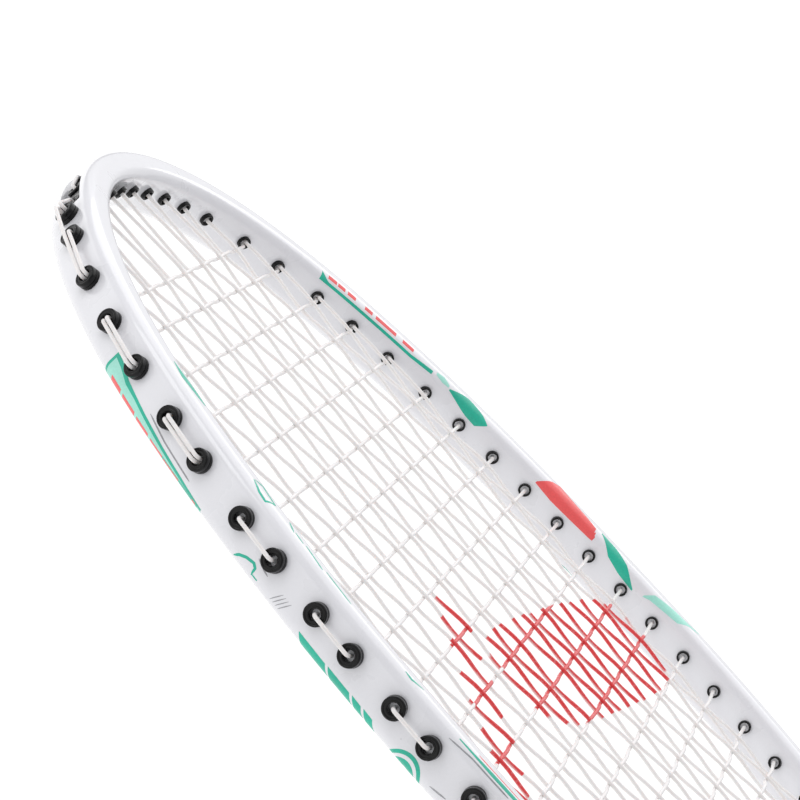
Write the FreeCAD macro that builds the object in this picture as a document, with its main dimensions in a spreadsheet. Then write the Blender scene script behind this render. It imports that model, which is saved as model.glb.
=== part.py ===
import FreeCAD, Part
import Sketcher
import os
from math import cos, degrees, hypot, pi, radians, sin, tan

# Badminton racket, lying face up.
# The shaft runs along +Y, the string bed lies in the XY plane and +Z is up.
# The origin is the centre of the butt cap's end face. All sizes are in millimetres.

V = FreeCAD.Vector

doc = FreeCAD.newDocument("badminton_racket")
sheet = doc.addObject("Spreadsheet::Sheet", "sizes")

SIZES = [
    ("overall_length", 675.0),
    # head: an oval of tangent arcs, given on the frame's inner wall
    ("head_half_width", 93.5),
    ("head_upper_length", 132.1),
    ("head_lower_length", 104.5),
    ("upper_tip_angle", 59.0),
    ("upper_shoulder_angle", 81.0),
    ("upper_shoulder_radius", 145.0),
    ("lower_tip_angle", 10.0),
    ("lower_shoulder_angle", 68.0),
    ("lower_shoulder_radius", 88.0),
    ("frame_width", 6.4),
    ("frame_depth", 10.3),
    ("frame_corner", 2.1),
    ("inner_wall", 1.1),
    ("outer_wall", 1.9),
    ("face_wall", 1.2),
    ("groove_depth", 1.6),
    ("groove_floor_wall", 1.0),
    ("groove_width", 4.8),
    ("groove_half_span", 30.5),
    # stringing
    ("main_spacing", 7.6),
    ("cross_spacing", 9.12),
    ("first_cross_gap", 7.3),
    ("second_cross_rise", 106.3),
    ("shoulder_pair_lift", 0.7),
    ("pair_pull", 0.55),
    ("hole_rise", 0.5),
    ("throat_clearance", 6.4),
    ("string_diameter", 0.72),
    ("string_gap", 0.03),
    ("pair_offset", 0.42),
    # grommets
    ("barrel_diameter", 2.6),
    ("barrel_bore", 1.8),
    ("barrel_stand_out", 0.8),
    ("flange_diameter", 4.1),
    ("flange_step_diameter", 3.6),
    ("flange_height", 1.5),
    ("short_flange_height", 0.6),
    ("flange_gap", 0.15),
    ("seat_gap", 0.21),
    ("groove_bend_lift", 0.9),
    ("funnel_diameter", 2.5),
    ("strip_thickness", 0.4),
    ("strip_width", 3.0),
    # shaft and throat
    ("shaft_diameter", 7.0),
    ("shaft_bore", 4.6),
    ("shaft_seat", 110.0),
    ("joint_stem_length", 32.0),
    ("joint_bar_length", 9.0),
    ("joint_bar_width", 6.0),
    ("joint_bar_thickness", 2.4),
    ("throat_collar_length", 16.0),
    # handle
    ("handle_top", 196.0),
    ("core_width", 22.4),
    ("core_height", 20.4),
    ("core_bevel", 6.2),
    ("core_spigot_diameter", 15.0),
    ("core_spigot_length", 14.0),
    ("cone_length", 30.0),
    ("cone_base_diameter", 25.0),
    ("cone_tip_diameter", 9.2),
    ("backing_thickness", 0.8),
    ("wrap_thickness", 1.4),
    ("wrap_start", 2.0),
    ("flare_top", 24.0),
    ("flare_extra", 1.6),
    ("tape_thickness", 0.3),
    ("tape_length", 12.0),
    # butt
    ("cap_width", 27.2),
    ("cap_height", 25.2),
    ("cap_length", 16.0),
    ("cap_floor", 2.6),
    ("cap_skirt", 0.6),
    ("disc_diameter", 13.8),
    ("disc_thickness", 0.8),
    ("tack_diameter", 1.3),
    ("tack_head_diameter", 3.0),
    ("tack_head_thickness", 0.4),
    ("tack_length", 7.0),
    ("tack_place", 11.0),
    ("pin_diameter", 2.0),
    ("pin_length", 18.0),
    ("pin_place", 128.0),
]

for row, (alias, value) in enumerate(SIZES, 1):
    sheet.set("A%d" % row, alias)
    sheet.set("B%d" % row, str(value))
    sheet.setAlias("B%d" % row, alias)
doc.recompute()


def size(alias):
    return float(sheet.get(alias))


FRAME_WIDTH = size("frame_width")
FRAME_DEPTH = size("frame_depth")
STRING_RADIUS = size("string_diameter") / 2
# The string holes and the string bed lie a little above the middle of the frame's depth.
HOLE_RISE = size("hole_rise")
# The largest arc that two equal runs allow passes inside its point by 0.45 of the height
# of the point, so the woven points stand that much further out than the crossing strings.
ARC_SHARE = 0.45
WEAVE = (STRING_RADIUS + size("string_gap") / 2) / (1 - ARC_SHARE)
MAINS = 22
CROSSES = 22

# height of the head's widest point above the butt
WIDEST = size("overall_length") - FRAME_WIDTH - size("head_upper_length")


# ---------------------------------------------------------------- head outline

def quarter_arcs(half_width, length, first_angle, second_angle, middle_radius):
    """Three tangent arcs from the end of the oval to its widest point.

    The middle radius is given; the other two follow from the quarter's width and length.
    """
    turns = [0.0, radians(first_angle), radians(second_angle), pi / 2]
    across = [sin(turns[k + 1]) - sin(turns[k]) for k in range(3)]
    along = [cos(turns[k]) - cos(turns[k + 1]) for k in range(3)]
    width_left = half_width - middle_radius * across[1]
    length_left = length - middle_radius * along[1]
    scale = across[0] * along[2] - across[2] * along[0]
    end_radius = (width_left * along[2] - across[2] * length_left) / scale
    side_radius = (across[0] * length_left - along[0] * width_left) / scale
    arcs = []
    x, y = 0.0, length
    for k, radius in enumerate((end_radius, middle_radius, side_radius)):
        centre = (x - radius * sin(turns[k]), y - radius * cos(turns[k]))
        arcs.append((turns[k], turns[k + 1], centre, radius))
        x = centre[0] + radius * sin(turns[k + 1])
        y = centre[1] + radius * cos(turns[k + 1])
    return arcs


def head_arcs():
    """The right half of the inner wall as (start angle, end angle, centre, radius).

    The angle is that of the outward normal, measured from +Y at the tip to -Y at the throat.
    """
    half_width = size("head_half_width")
    upper = quarter_arcs(half_width, size("head_upper_length"), size("upper_tip_angle"),
                         size("upper_shoulder_angle"), size("upper_shoulder_radius"))
    lower = quarter_arcs(half_width, size("head_lower_length"), size("lower_tip_angle"),
                         size("lower_shoulder_angle"), size("lower_shoulder_radius"))
    arcs = [(a, b, (c[0], WIDEST + c[1]), r) for a, b, c, r in upper]
    for a, b, c, r in reversed(lower):
        arcs.append((pi - b, pi - a, (c[0], WIDEST - c[1]), r))
    return arcs


ARCS = head_arcs()


def wall_point(side, angle, offset, z=0.0):
    """A point on the inner wall, moved outward by offset; side is +1 or -1."""
    for start, end, centre, radius in ARCS:
        if angle <= end + 1e-9:
            break
    x = centre[0] + (radius + offset) * sin(angle)
    return V(side * x, centre[1] + (radius + offset) * cos(angle), z)


def solve(value_at, target, low, high):
    """Bisection for an increasing or decreasing function of the angle."""
    rising = value_at(high) > value_at(low)
    for _ in range(60):
        middle = (low + high) / 2
        if (value_at(middle) < target) == rising:
            low = middle
        else:
            high = middle
    return (low + high) / 2


def angle_at_height(y):
    return solve(lambda angle: wall_point(1, angle, 0).y, y, 0.0, pi)


def angle_at_top(x):
    return solve(lambda angle: wall_point(1, angle, 0).x, x, 0.0, pi / 2)


def angle_at_bottom(x):
    return solve(lambda angle: wall_point(1, angle, 0).x, x, pi / 2, pi)


# ---------------------------------------------------------------- string holes

# The second pair of holes below the shoulder stands closer to the first pair.
SHOULDER_PAIR = (3, 4)


def cross_height(number):
    """Height of a cross string, counted from the tip."""
    second = WIDEST + size("second_cross_rise")
    if number == 0:
        return second + size("first_cross_gap")
    lift = size("shoulder_pair_lift") if number in SHOULDER_PAIR else 0.0
    return second - (number - 1) * size("cross_spacing") + lift


def hole_skew(number, side):
    """How far a cross hole's outer end leans towards the hole that shares its outside run.

    On the -X side crosses 1 and 2, 3 and 4 and so on share a run; on the +X side 0 and 1, 2 and 3.
    """
    if side < 0 and number in (0, CROSSES - 1):
        return 0.0
    runs_down = (number % 2 == 1) == (side < 0)
    return size("pair_pull") if runs_down else -size("pair_pull")


def main_place(number):
    """Sideways place of a main string, counted from the -X side."""
    return (number - (MAINS - 1) / 2) * size("main_spacing")


class Hole:
    """One string hole through the frame, with its grommet.

    The skew moves its outer end along the wall, towards the throat where it is positive.
    """

    def __init__(self, side, angle, skew=0.0):
        self.side = side
        self.angle = angle
        self.skew = skew
        self.shared = False
        self.bend_lift = 0.0
        self.in_groove = abs(wall_point(side, angle, 0).x) < size("groove_half_span") and angle < pi / 2

    def seat(self):
        """Offset of the surface that the flange sits on."""
        if self.in_groove:
            return FRAME_WIDTH - size("groove_depth") + size("strip_thickness") / 2
        return FRAME_WIDTH + size("seat_gap")

    def at(self, offset, z=0.0):
        along_wall = V(self.side * cos(self.angle), -sin(self.angle), 0)
        lean = self.skew * offset / FRAME_WIDTH
        return wall_point(self.side, self.angle, offset, HOLE_RISE + z) + along_wall * lean

    def axis(self):
        return (self.at(1) - self.at(0)).normalize()

    def inner_lip(self, z):
        return self.at(-size("barrel_stand_out") - 0.3, z)

    def flange_top(self):
        return self.seat() + size("short_flange_height" if self.in_groove else "flange_height")

    def outer_bend(self, z):
        return self.at(self.flange_top() + STRING_RADIUS + size("flange_gap") + self.bend_lift, z)


# The eight outermost mains share a hole with a cross at each end of their run.
SHARED_TOP = {0: 4, 1: 3, 2: 2, 3: 1, 4: 0}
SHARED_BOTTOM = {0: 19, 1: 20, 2: 21}

cross_holes = {}
for number in range(CROSSES):
    for side in (-1, 1):
        angle = angle_at_height(cross_height(number))
        cross_holes[number, side] = Hole(side, angle, hole_skew(number, side))

top_holes = {}
bottom_holes = {}
for number in range(MAINS):
    side = -1 if number < MAINS / 2 else 1
    rank = min(number, MAINS - 1 - number)
    x = abs(main_place(number))
    if rank in SHARED_TOP:
        top_holes[number] = cross_holes[SHARED_TOP[rank], side]
        top_holes[number].shared = True
    else:
        top_holes[number] = Hole(side, angle_at_top(x))
    if rank in SHARED_BOTTOM:
        bottom_holes[number] = cross_holes[SHARED_BOTTOM[rank], side]
        bottom_holes[number].shared = True
    else:
        # the middle mains fan out a little to pass the throat on both sides
        bottom_holes[number] = Hole(side, angle_at_bottom(hypot(x, size("throat_clearance"))))

# The runs from these two go down into the tip's groove, so they bend higher and clear the rim.
for number in (6, MAINS - 7):
    top_holes[number].bend_lift = size("groove_bend_lift")

# Tie-off holes: the four string ends come back in through these and are knotted inside.
CROSS_START_TIE = top_holes[6]
CROSS_START_PASSES = top_holes[5]
CROSS_END_TIE = bottom_holes[3]
MAIN_START_TIE = cross_holes[18, -1]
MAIN_END_TIE = cross_holes[18, 1]
for hole in (CROSS_START_TIE, CROSS_START_PASSES, CROSS_END_TIE, MAIN_START_TIE, MAIN_END_TIE):
    hole.shared = True


def lane(hole, kind):
    """Height of a string inside a hole: two strings in one hole lie side by side."""
    if not hole.shared:
        return 0.0
    if kind == "main":
        return size("pair_offset")
    return -size("pair_offset")


# ---------------------------------------------------------------- string routes

LIP_RADIUS = 0.9
BEND_RADIUS = 0.8


def main_line(number, y):
    """Sideways place of a main string at height y, on its straight run between holes."""
    top = top_holes[number].inner_lip(0)
    bottom = bottom_holes[number].inner_lip(0)
    share = (y - bottom.y) / (top.y - bottom.y)
    return bottom.x + share * (top.x - bottom.x)


def cross_line(number, x):
    """Height of a cross string at x, on its straight run between holes."""
    left = cross_holes[number, -1].inner_lip(0)
    right = cross_holes[number, 1].inner_lip(0)
    share = (x - left.x) / (right.x - left.x)
    return left.y + share * (right.y - left.y)


def crossings():
    """Every place where a main and a cross meet: {(main, cross): (x, y, rise of the main)}."""
    found = {}
    for main in range(MAINS):
        top = top_holes[main].inner_lip(0).y
        bottom = bottom_holes[main].inner_lip(0).y
        for cross in range(CROSSES):
            # both lines are nearly square to the axes, so one correction places them exactly
            y = cross_line(cross, main_line(main, cross_height(cross)))
            if y > top - 3.0 or y < bottom + 3.0:
                continue
            over = (main + cross) % 2 == 0
            found[main, cross] = (main_line(main, y), y, WEAVE if over else -WEAVE)
    return found


CROSSINGS = crossings()


def through(hole, kind, outward):
    """The two bends of a string that passes a hole, in the order that it meets them."""
    z = lane(hole, kind)
    points = [(hole.inner_lip(z), LIP_RADIUS), (hole.outer_bend(z), BEND_RADIUS)]
    return points if outward else points[::-1]


def weave_main(number, upward):
    order = range(CROSSES - 1, -1, -1) if upward else range(CROSSES)
    places = [CROSSINGS[number, cross] for cross in order if (number, cross) in CROSSINGS]
    return [(V(x, y, HOLE_RISE + rise), None) for x, y, rise in places]


def weave_cross(number, rightward):
    order = range(MAINS) if rightward else range(MAINS - 1, -1, -1)
    places = [CROSSINGS[main, number] for main in order if (main, number) in CROSSINGS]
    return [(V(x, y, HOLE_RISE - rise), None) for x, y, rise in places]


def main_route():
    """Up the first main, over the top, down the second and so on, tied off at both ends."""
    route = [(MAIN_START_TIE.at(-size("barrel_stand_out") - 0.9, lane(MAIN_START_TIE, "main")), 0),
             (MAIN_START_TIE.outer_bend(lane(MAIN_START_TIE, "main")), BEND_RADIUS)]
    for number in range(MAINS):
        upward = number % 2 == 0
        first, last = bottom_holes[number], top_holes[number]
        if not upward:
            first, last = last, first
        route += through(first, "main", False)
        route += weave_main(number, upward)
        route += through(last, "main", True)
    route += [(MAIN_END_TIE.outer_bend(lane(MAIN_END_TIE, "main")), BEND_RADIUS),
              (MAIN_END_TIE.at(-size("barrel_stand_out") - 0.9, lane(MAIN_END_TIE, "main")), 0)]
    return route


def cross_route():
    """Across and back from the tip to the throat, tied off on the -X side at both ends."""
    lane_z = -size("pair_offset")
    over_flange = CROSS_START_PASSES.at(
        CROSS_START_PASSES.flange_top() + STRING_RADIUS + 3 * size("flange_gap"), lane_z)
    route = [(CROSS_START_TIE.at(-size("barrel_stand_out") - 0.9, lane_z), 0),
             (CROSS_START_TIE.outer_bend(lane_z), BEND_RADIUS),
             (over_flange, None)]
    for number in range(CROSSES):
        side = -1 if number % 2 == 0 else 1
        route += through(cross_holes[number, side], "cross", False)
        route += weave_cross(number, side < 0)
        route += through(cross_holes[number, -side], "cross", True)
    route += [(CROSS_END_TIE.outer_bend(lane_z), BEND_RADIUS),
              (CROSS_END_TIE.at(-size("barrel_stand_out") - 0.9, lane_z), 0)]
    return route


def rounded_wire(route):
    """Straight runs joined by tangent arcs.

    Each point has its radius; None asks for the largest that its two runs allow.
    """
    points = [point for point, radius in route]
    edges = []
    start = points[0]
    for k in range(1, len(points) - 1):
        before = points[k] - points[k - 1]
        after = points[k + 1] - points[k]
        run_in, run_out = before.Length, after.Length
        before.normalize()
        after.normalize()
        turn = before.getAngle(after)
        if turn < 1e-4:
            continue
        radius = route[k][1]
        if radius is None:
            radius = ARC_SHARE * min(run_in, run_out) / tan(turn / 2)
        cut = radius * tan(turn / 2)
        a = points[k] - before * cut
        b = points[k] + after * cut
        inward = after - before
        inward.normalize()
        middle = points[k] + inward * (radius / cos(turn / 2) - radius)
        edges.append(Part.LineSegment(start, a).toShape())
        edges.append(Part.Arc(a, middle, b).toShape())
        start = b
    edges.append(Part.LineSegment(start, points[-1]).toShape())
    return Part.Wire(edges)


def string_tube(route, label):
    """One closed solid along the whole route of a string."""
    wire = rounded_wire(route)
    first = route[1][0] - route[0][0]
    circle = Part.Wire([Part.Circle(route[0][0], first, STRING_RADIUS).toShape()])
    tube = wire.makePipeShell([circle], True, False)
    length = wire.Length
    print("%s: length %.0f mm, volume ratio %.4f"
          % (label, length, tube.Volume / (pi * STRING_RADIUS ** 2 * length)))
    return tube


# ---------------------------------------------------------------- document helpers

ALONG_Y = FreeCAD.Rotation(V(1, 0, 0), -90)


def feature(label, shape):
    """A sub-part whose shape is worked out from the sheet's values."""
    part = doc.addObject("Part::Feature", label)
    part.Label = label
    part.Shape = shape
    part.Placement = FreeCAD.Placement()
    return part


def rod(name, diameter, start, length, axis="y"):
    """A cylinder along Y, X or Z with its sizes bound to the sheet.

    Along Y it begins at start; across, it is centred on the shaft at the height start.
    """
    part = doc.addObject("Part::Cylinder", name)
    part.setExpression("Radius", "(%s) / 2" % diameter)
    part.setExpression("Height", length)
    if axis == "y":
        part.Placement = FreeCAD.Placement(V(0, 0, 0), ALONG_Y)
    elif axis == "x":
        part.Placement = FreeCAD.Placement(V(0, 0, 0), FreeCAD.Rotation(V(0, 1, 0), 90))
        part.setExpression("Placement.Base.x", "-(%s) / 2" % length)
    else:
        part.setExpression("Placement.Base.z", "-(%s) / 2" % length)
    part.setExpression("Placement.Base.y", start)
    return part


def fuse(name, *parts):
    joined = doc.addObject("Part::MultiFuse", name)
    joined.Shapes = list(parts)
    joined.Refine = True
    return joined


def cut(name, base, tool):
    result = doc.addObject("Part::Cut", name)
    result.Base = base
    result.Tool = tool
    result.Label = name
    return result


def polygon_sketch(body, name, plane, corners, rise="0"):
    """A closed polygon on a plane of the body, with every corner bound to the sheet."""
    sketch = body.newObject("Sketcher::SketchObject", name)
    origin_plane = [f for f in body.Origin.OriginFeatures if f.Role == plane][0]
    sketch.AttachmentSupport = [(origin_plane, "")]
    sketch.MapMode = "FlatFace"
    sketch.setExpression("AttachmentOffset.Base.z", rise)
    count = len(corners)
    first_guess = [V(10 * cos(2 * pi * k / count), 10 * sin(2 * pi * k / count), 0)
                   for k in range(count)]
    for k in range(count):
        sketch.addGeometry(Part.LineSegment(first_guess[k], first_guess[(k + 1) % count]), False)
    for k in range(count):
        sketch.addConstraint(Sketcher.Constraint("Coincident", k, 2, (k + 1) % count, 1))
    for k, corner in enumerate(corners):
        for axis, expression in zip("XY", corner):
            number = sketch.addConstraint(
                Sketcher.Constraint("Distance" + axis, -1, 1, k, 1, 5.0))
            sketch.setExpression("Constraints[%d]" % number, expression)
    return sketch


def octagon(width, height, growth="0"):
    """Corners of the handle's octagon, as expressions; growth moves every side outward."""
    w = "((%s) / 2 + %s)" % (width, growth)
    h = "((%s) / 2 + %s)" % (height, growth)
    # a side moved outward by 1 lengthens the bevel's leg by 2 - sqrt(2)
    leg = "(sizes.core_bevel + (2 - sqrt(2)) * ((%s - sizes.core_width) / 2 + %s))" % (width, growth)
    near_w = "(%s - %s)" % (w, leg)
    near_h = "(%s - %s)" % (h, leg)
    return [(w, "-" + near_h), (w, near_h), (near_w, h), ("-" + near_w, h),
            ("-" + w, near_h), ("-" + w, "-" + near_h), ("-" + near_w, "-" + h), (near_w, "-" + h)]


def octagon_body(name, start, length, corners):
    """A straight octagonal bar along Y, from start."""
    body = doc.addObject("PartDesign::Body", name)
    sketch = polygon_sketch(body, name + "_section", "XZ_Plane", corners)
    pad = body.newObject("PartDesign::Pad", name + "_pad")
    pad.Profile = sketch
    pad.Reversed = True
    pad.setExpression("Length", length)
    body.setExpression("Placement.Base.y", start)
    return body


def octagon_loft(name, start, length, first, last):
    """An octagonal bar along Y that changes from the first section to the last."""
    body = doc.addObject("PartDesign::Body", name)
    near = polygon_sketch(body, name + "_near", "XZ_Plane", first)
    far = polygon_sketch(body, name + "_far", "XZ_Plane", last, "-(%s)" % length)
    loft = body.newObject("PartDesign::AdditiveLoft", name + "_loft")
    loft.Profile = near
    loft.Sections = [far]
    loft.Ruled = True
    body.setExpression("Placement.Base.y", start)
    return body


def turned_body(name, corners, start="0"):
    """A piece turned about the shaft's axis, from (radius, place along Y) corners."""
    body = doc.addObject("PartDesign::Body", name)
    sketch = polygon_sketch(body, name + "_profile", "XY_Plane", corners)
    turn = body.newObject("PartDesign::Revolution", name + "_turn")
    turn.Profile = sketch
    turn.ReferenceAxis = (sketch, ["V_Axis"])
    turn.Angle = 360
    body.setExpression("Placement.Base.y", start)
    return body


# ---------------------------------------------------------------- head frame

def rounded_section(low_n, high_n, half_depth, corner, middle=0.0):
    """A rounded rectangle in the XZ plane; X is the distance outward from the inner wall."""
    box = [V(low_n, 0, middle - half_depth), V(high_n, 0, middle - half_depth),
           V(high_n, 0, middle + half_depth), V(low_n, 0, middle + half_depth)]
    turn = corner * (1 - cos(pi / 4))
    edges = []
    for k in range(4):
        here, ahead = box[k], box[(k + 1) % 4]
        way = (ahead - here).normalize()
        next_way = (box[(k + 2) % 4] - ahead).normalize()
        bend_start = ahead - way * corner
        bend_end = ahead + next_way * corner
        edges.append(Part.LineSegment(here + way * corner, bend_start).toShape())
        bend_middle = ahead - (way - next_way) * turn
        edges.append(Part.Arc(bend_start, bend_middle, bend_end).toShape())
    return Part.Face(Part.Wire(edges))


def swept_on_arc(section, arc, side, start=None, end=None):
    """The section revolved along one arc of the head, or along a share of it."""
    arc_start, arc_end, centre, radius = arc
    start = arc_start if start is None else start
    end = arc_end if end is None else end
    face = section.copy()
    face.translate(V(radius, 0, 0))
    face.rotate(V(0, 0, 0), V(0, 0, 1), 90 - degrees(start))
    face.translate(V(centre[0], centre[1], 0))
    solid = face.revolve(V(centre[0], centre[1], 0), V(0, 0, 1), degrees(start - end))
    if side < 0:
        solid = solid.mirror(V(0, 0, 0), V(1, 0, 0))
    return solid


def ring(section):
    """The section carried once round the head."""
    pieces = [swept_on_arc(section, arc, side) for side in (1, -1) for arc in ARCS]
    return pieces[0].multiFuse(pieces[1:]).removeSplitter()


def solid_of(shape):
    """The one solid inside a fused or cut shape."""
    assert len(shape.Solids) == 1, len(shape.Solids)
    return shape.Solids[0]


def along_hole(hole, radius, low, high):
    """A round bar on a hole's axis, between two offsets from the inner wall."""
    return Part.makeCylinder(radius, high - low, hole.at(low), hole.axis())


ALL_HOLES = []
for hole in list(cross_holes.values()) + list(top_holes.values()) + list(bottom_holes.values()):
    if hole not in ALL_HOLES:
        ALL_HOLES.append(hole)

frame_section = rounded_section(0, FRAME_WIDTH, FRAME_DEPTH / 2, size("frame_corner"))
void_section = rounded_section(size("inner_wall"), FRAME_WIDTH - size("outer_wall"),
                               FRAME_DEPTH / 2 - size("face_wall"), 0.8)
frame_outside = solid_of(ring(frame_section))
tip_arc = ARCS[0]
groove_angle = angle_at_top(size("groove_half_span"))
GROOVE_FLOOR = FRAME_WIDTH - size("groove_depth")
groove_section = rounded_section(GROOVE_FLOOR, FRAME_WIDTH + 2.0, size("groove_width") / 2, 0.4, HOLE_RISE)
groove = [swept_on_arc(groove_section, tip_arc, side, 0.0, groove_angle) for side in (1, -1)]
# the hollow keeps clear of the groove, so a bed of full depth stays under its floor
bed_section = rounded_section(GROOVE_FLOOR - size("groove_floor_wall"), FRAME_WIDTH, FRAME_DEPTH / 2, 0.1)
bed_angle = angle_at_top(size("groove_half_span") + 2.0)
bed = [swept_on_arc(bed_section, tip_arc, side, 0.0, bed_angle) for side in (1, -1)]
frame_void = solid_of(ring(void_section)).cut(bed[0].fuse(bed[1]))
frame_bores = [along_hole(hole, size("barrel_diameter") / 2, -1.0, FRAME_WIDTH + 1.0)
               for hole in ALL_HOLES]
THROAT = wall_point(1, pi, FRAME_WIDTH).y
stem_bore = Part.makeCylinder(size("shaft_bore") / 2, 4.0, V(0, THROAT - 1, 0), V(0, 1, 0))
frame_shape = frame_outside.cut(solid_of(frame_void))
frame_shape = frame_shape.cut([groove[0].fuse(groove[1])] + frame_bores + [stem_bore])
head_frame = feature("head_frame", solid_of(frame_shape))


# ---------------------------------------------------------------- grommets

SEAT = "sizes.frame_width + sizes.seat_gap"
# the tip's flanges start half-way up the strip that joins them
GROOVE_SEAT = "sizes.frame_width - sizes.groove_depth + sizes.strip_thickness / 2"
grommet_master = turned_body("grommet_master", [
    ("sizes.barrel_bore / 2", "-sizes.barrel_stand_out"),
    ("sizes.barrel_diameter / 2", "-sizes.barrel_stand_out"),
    ("sizes.barrel_diameter / 2", SEAT),
    ("sizes.flange_diameter / 2", SEAT),
    ("sizes.flange_diameter / 2", SEAT + " + sizes.flange_height / 2"),
    ("sizes.flange_step_diameter / 2", SEAT + " + sizes.flange_height / 2"),
    ("sizes.flange_step_diameter / 2", SEAT + " + sizes.flange_height"),
    ("sizes.funnel_diameter / 2", SEAT + " + sizes.flange_height"),
    ("sizes.barrel_bore / 2", SEAT + " + sizes.flange_height / 2"),
])
short_grommet_master = turned_body("short_grommet_master", [
    ("sizes.barrel_bore / 2", "-sizes.barrel_stand_out"),
    ("sizes.barrel_diameter / 2", "-sizes.barrel_stand_out"),
    ("sizes.barrel_diameter / 2", GROOVE_SEAT),
    ("sizes.flange_step_diameter / 2", GROOVE_SEAT),
    ("sizes.flange_step_diameter / 2", GROOVE_SEAT + " + sizes.short_flange_height"),
    ("sizes.funnel_diameter / 2", GROOVE_SEAT + " + sizes.short_flange_height"),
    ("sizes.barrel_bore / 2", GROOVE_SEAT + " + sizes.short_flange_height / 2"),
])
doc.recompute()


def in_hole(master, hole):
    """A copy of a turned piece, placed on a hole's axis with its zero at the inner wall."""
    shape = master.Shape.copy()
    place = FreeCAD.Placement(hole.at(0), FreeCAD.Rotation(V(0, 1, 0), hole.axis()))
    shape.transformShape(place.toMatrix())
    return shape


side_rows = {-1: [], 1: []}
throat_row = []
groove_row = []
for hole in ALL_HOLES:
    if hole.in_groove:
        groove_row.append(hole)
    elif hole in bottom_holes.values() and hole not in cross_holes.values():
        throat_row.append(hole)
    else:
        side_rows[hole.side].append(hole)

left_grommets = feature("left_grommets", Part.makeCompound(
    [in_hole(grommet_master, hole) for hole in side_rows[-1]]))
right_grommets = feature("right_grommets", Part.makeCompound(
    [in_hole(grommet_master, hole) for hole in side_rows[1]]))
throat_grommets = feature("throat_grommets", Part.makeCompound(
    [in_hole(grommet_master, hole) for hole in throat_row]))

# The tip's grommets are one moulding: a thin strip in the frame's groove joins them.
strip_section = rounded_section(GROOVE_FLOOR, GROOVE_FLOOR + size("strip_thickness"),
                                size("strip_width") / 2, 0.15, HOLE_RISE)
strip_angle = angle_at_top(size("groove_half_span") - 1.2)
strip = [swept_on_arc(strip_section, tip_arc, side, 0.0, strip_angle) for side in (1, -1)]
strip = strip[0].fuse(strip[1])
strip = strip.cut([along_hole(hole, size("barrel_bore") / 2, 0, FRAME_WIDTH + 2) for hole in groove_row])
strip = strip.fuse([in_hole(short_grommet_master, hole) for hole in groove_row])
tip_grommet_strip = feature("tip_grommet_strip", solid_of(strip))


# ---------------------------------------------------------------- strings

main_string = feature("main_string", string_tube(main_route(), "main_string"))
cross_string = feature("cross_string", string_tube(cross_route(), "cross_string"))

KNOT_PLACE = 1.25
KNOT_RING = 2 * STRING_RADIUS + 0.05


def knot(hole, kind):
    """Two turns of a string's end round the string that shares its hole."""
    other = "cross" if kind == "main" else "main"
    lip = hole.inner_lip(lane(hole, other))
    if other == "main":
        number = [n for n, h in list(top_holes.items()) + list(bottom_holes.items()) if h is hole][0]
        ys = [CROSSINGS[number, cross] for cross in range(CROSSES) if (number, cross) in CROSSINGS]
        x, y, rise = min(ys, key=lambda place: abs(place[1] - lip.y))
        target = V(x, y, HOLE_RISE + rise)
    else:
        number = [n for (n, side), h in cross_holes.items() if h is hole][0]
        xs = [CROSSINGS[main, number] for main in range(MAINS) if (main, number) in CROSSINGS]
        x, y, rise = min(xs, key=lambda place: abs(place[0] - lip.x))
        target = V(x, y, HOLE_RISE - rise)
    way = (target - lip).normalize()
    turns = []
    for k in range(2):
        centre = lip + way * (KNOT_PLACE + k * 2 * STRING_RADIUS * 0.96)
        turns.append(Part.makeTorus(KNOT_RING, STRING_RADIUS, centre, way))
    return turns[0].fuse(turns[1])


knots = [knot(CROSS_START_TIE, "cross"), knot(CROSS_END_TIE, "cross"),
         knot(MAIN_START_TIE, "main"), knot(MAIN_END_TIE, "main")]
string_knots = feature("string_knots", Part.makeCompound([solid_of(k) for k in knots]))


# ---------------------------------------------------------------- throat and shaft

THROAT_Y = ("(sizes.overall_length - sizes.head_upper_length - sizes.head_lower_length"
            " - 2 * sizes.frame_width)")
shaft_outside = rod("shaft_outside", "sizes.shaft_diameter", "sizes.shaft_seat",
                    THROAT_Y + " - sizes.shaft_seat")
shaft_inside = rod("shaft_inside", "sizes.shaft_bore", "sizes.shaft_seat - 1",
                   THROAT_Y + " - sizes.shaft_seat + 2")
pin_bore = rod("pin_bore", "sizes.pin_diameter", "sizes.pin_place", "sizes.core_height + 4", "z")
shaft_holes = fuse("shaft_holes", shaft_inside, pin_bore)
shaft = cut("shaft", shaft_outside, shaft_holes)

# The T-joint: a stem down into the shaft and a short bar inside the hollow frame.
joint_stem = rod("joint_stem", "sizes.shaft_bore", THROAT_Y + " - sizes.joint_stem_length",
                 "sizes.joint_stem_length + sizes.outer_wall + 0.5")
joint_bar = doc.addObject("Part::Box", "joint_bar")
joint_bar.setExpression("Length", "sizes.joint_bar_length")
joint_bar.setExpression("Width", "sizes.joint_bar_thickness")
joint_bar.setExpression("Height", "sizes.joint_bar_width")
joint_bar.setExpression("Placement.Base.x", "-sizes.joint_bar_length / 2")
joint_bar.setExpression("Placement.Base.y", THROAT_Y + " + sizes.outer_wall + 0.3")
joint_bar.setExpression("Placement.Base.z", "-sizes.joint_bar_width / 2")
t_joint = fuse("t_joint", joint_stem, joint_bar)
t_joint.Label = "t_joint"

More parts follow.
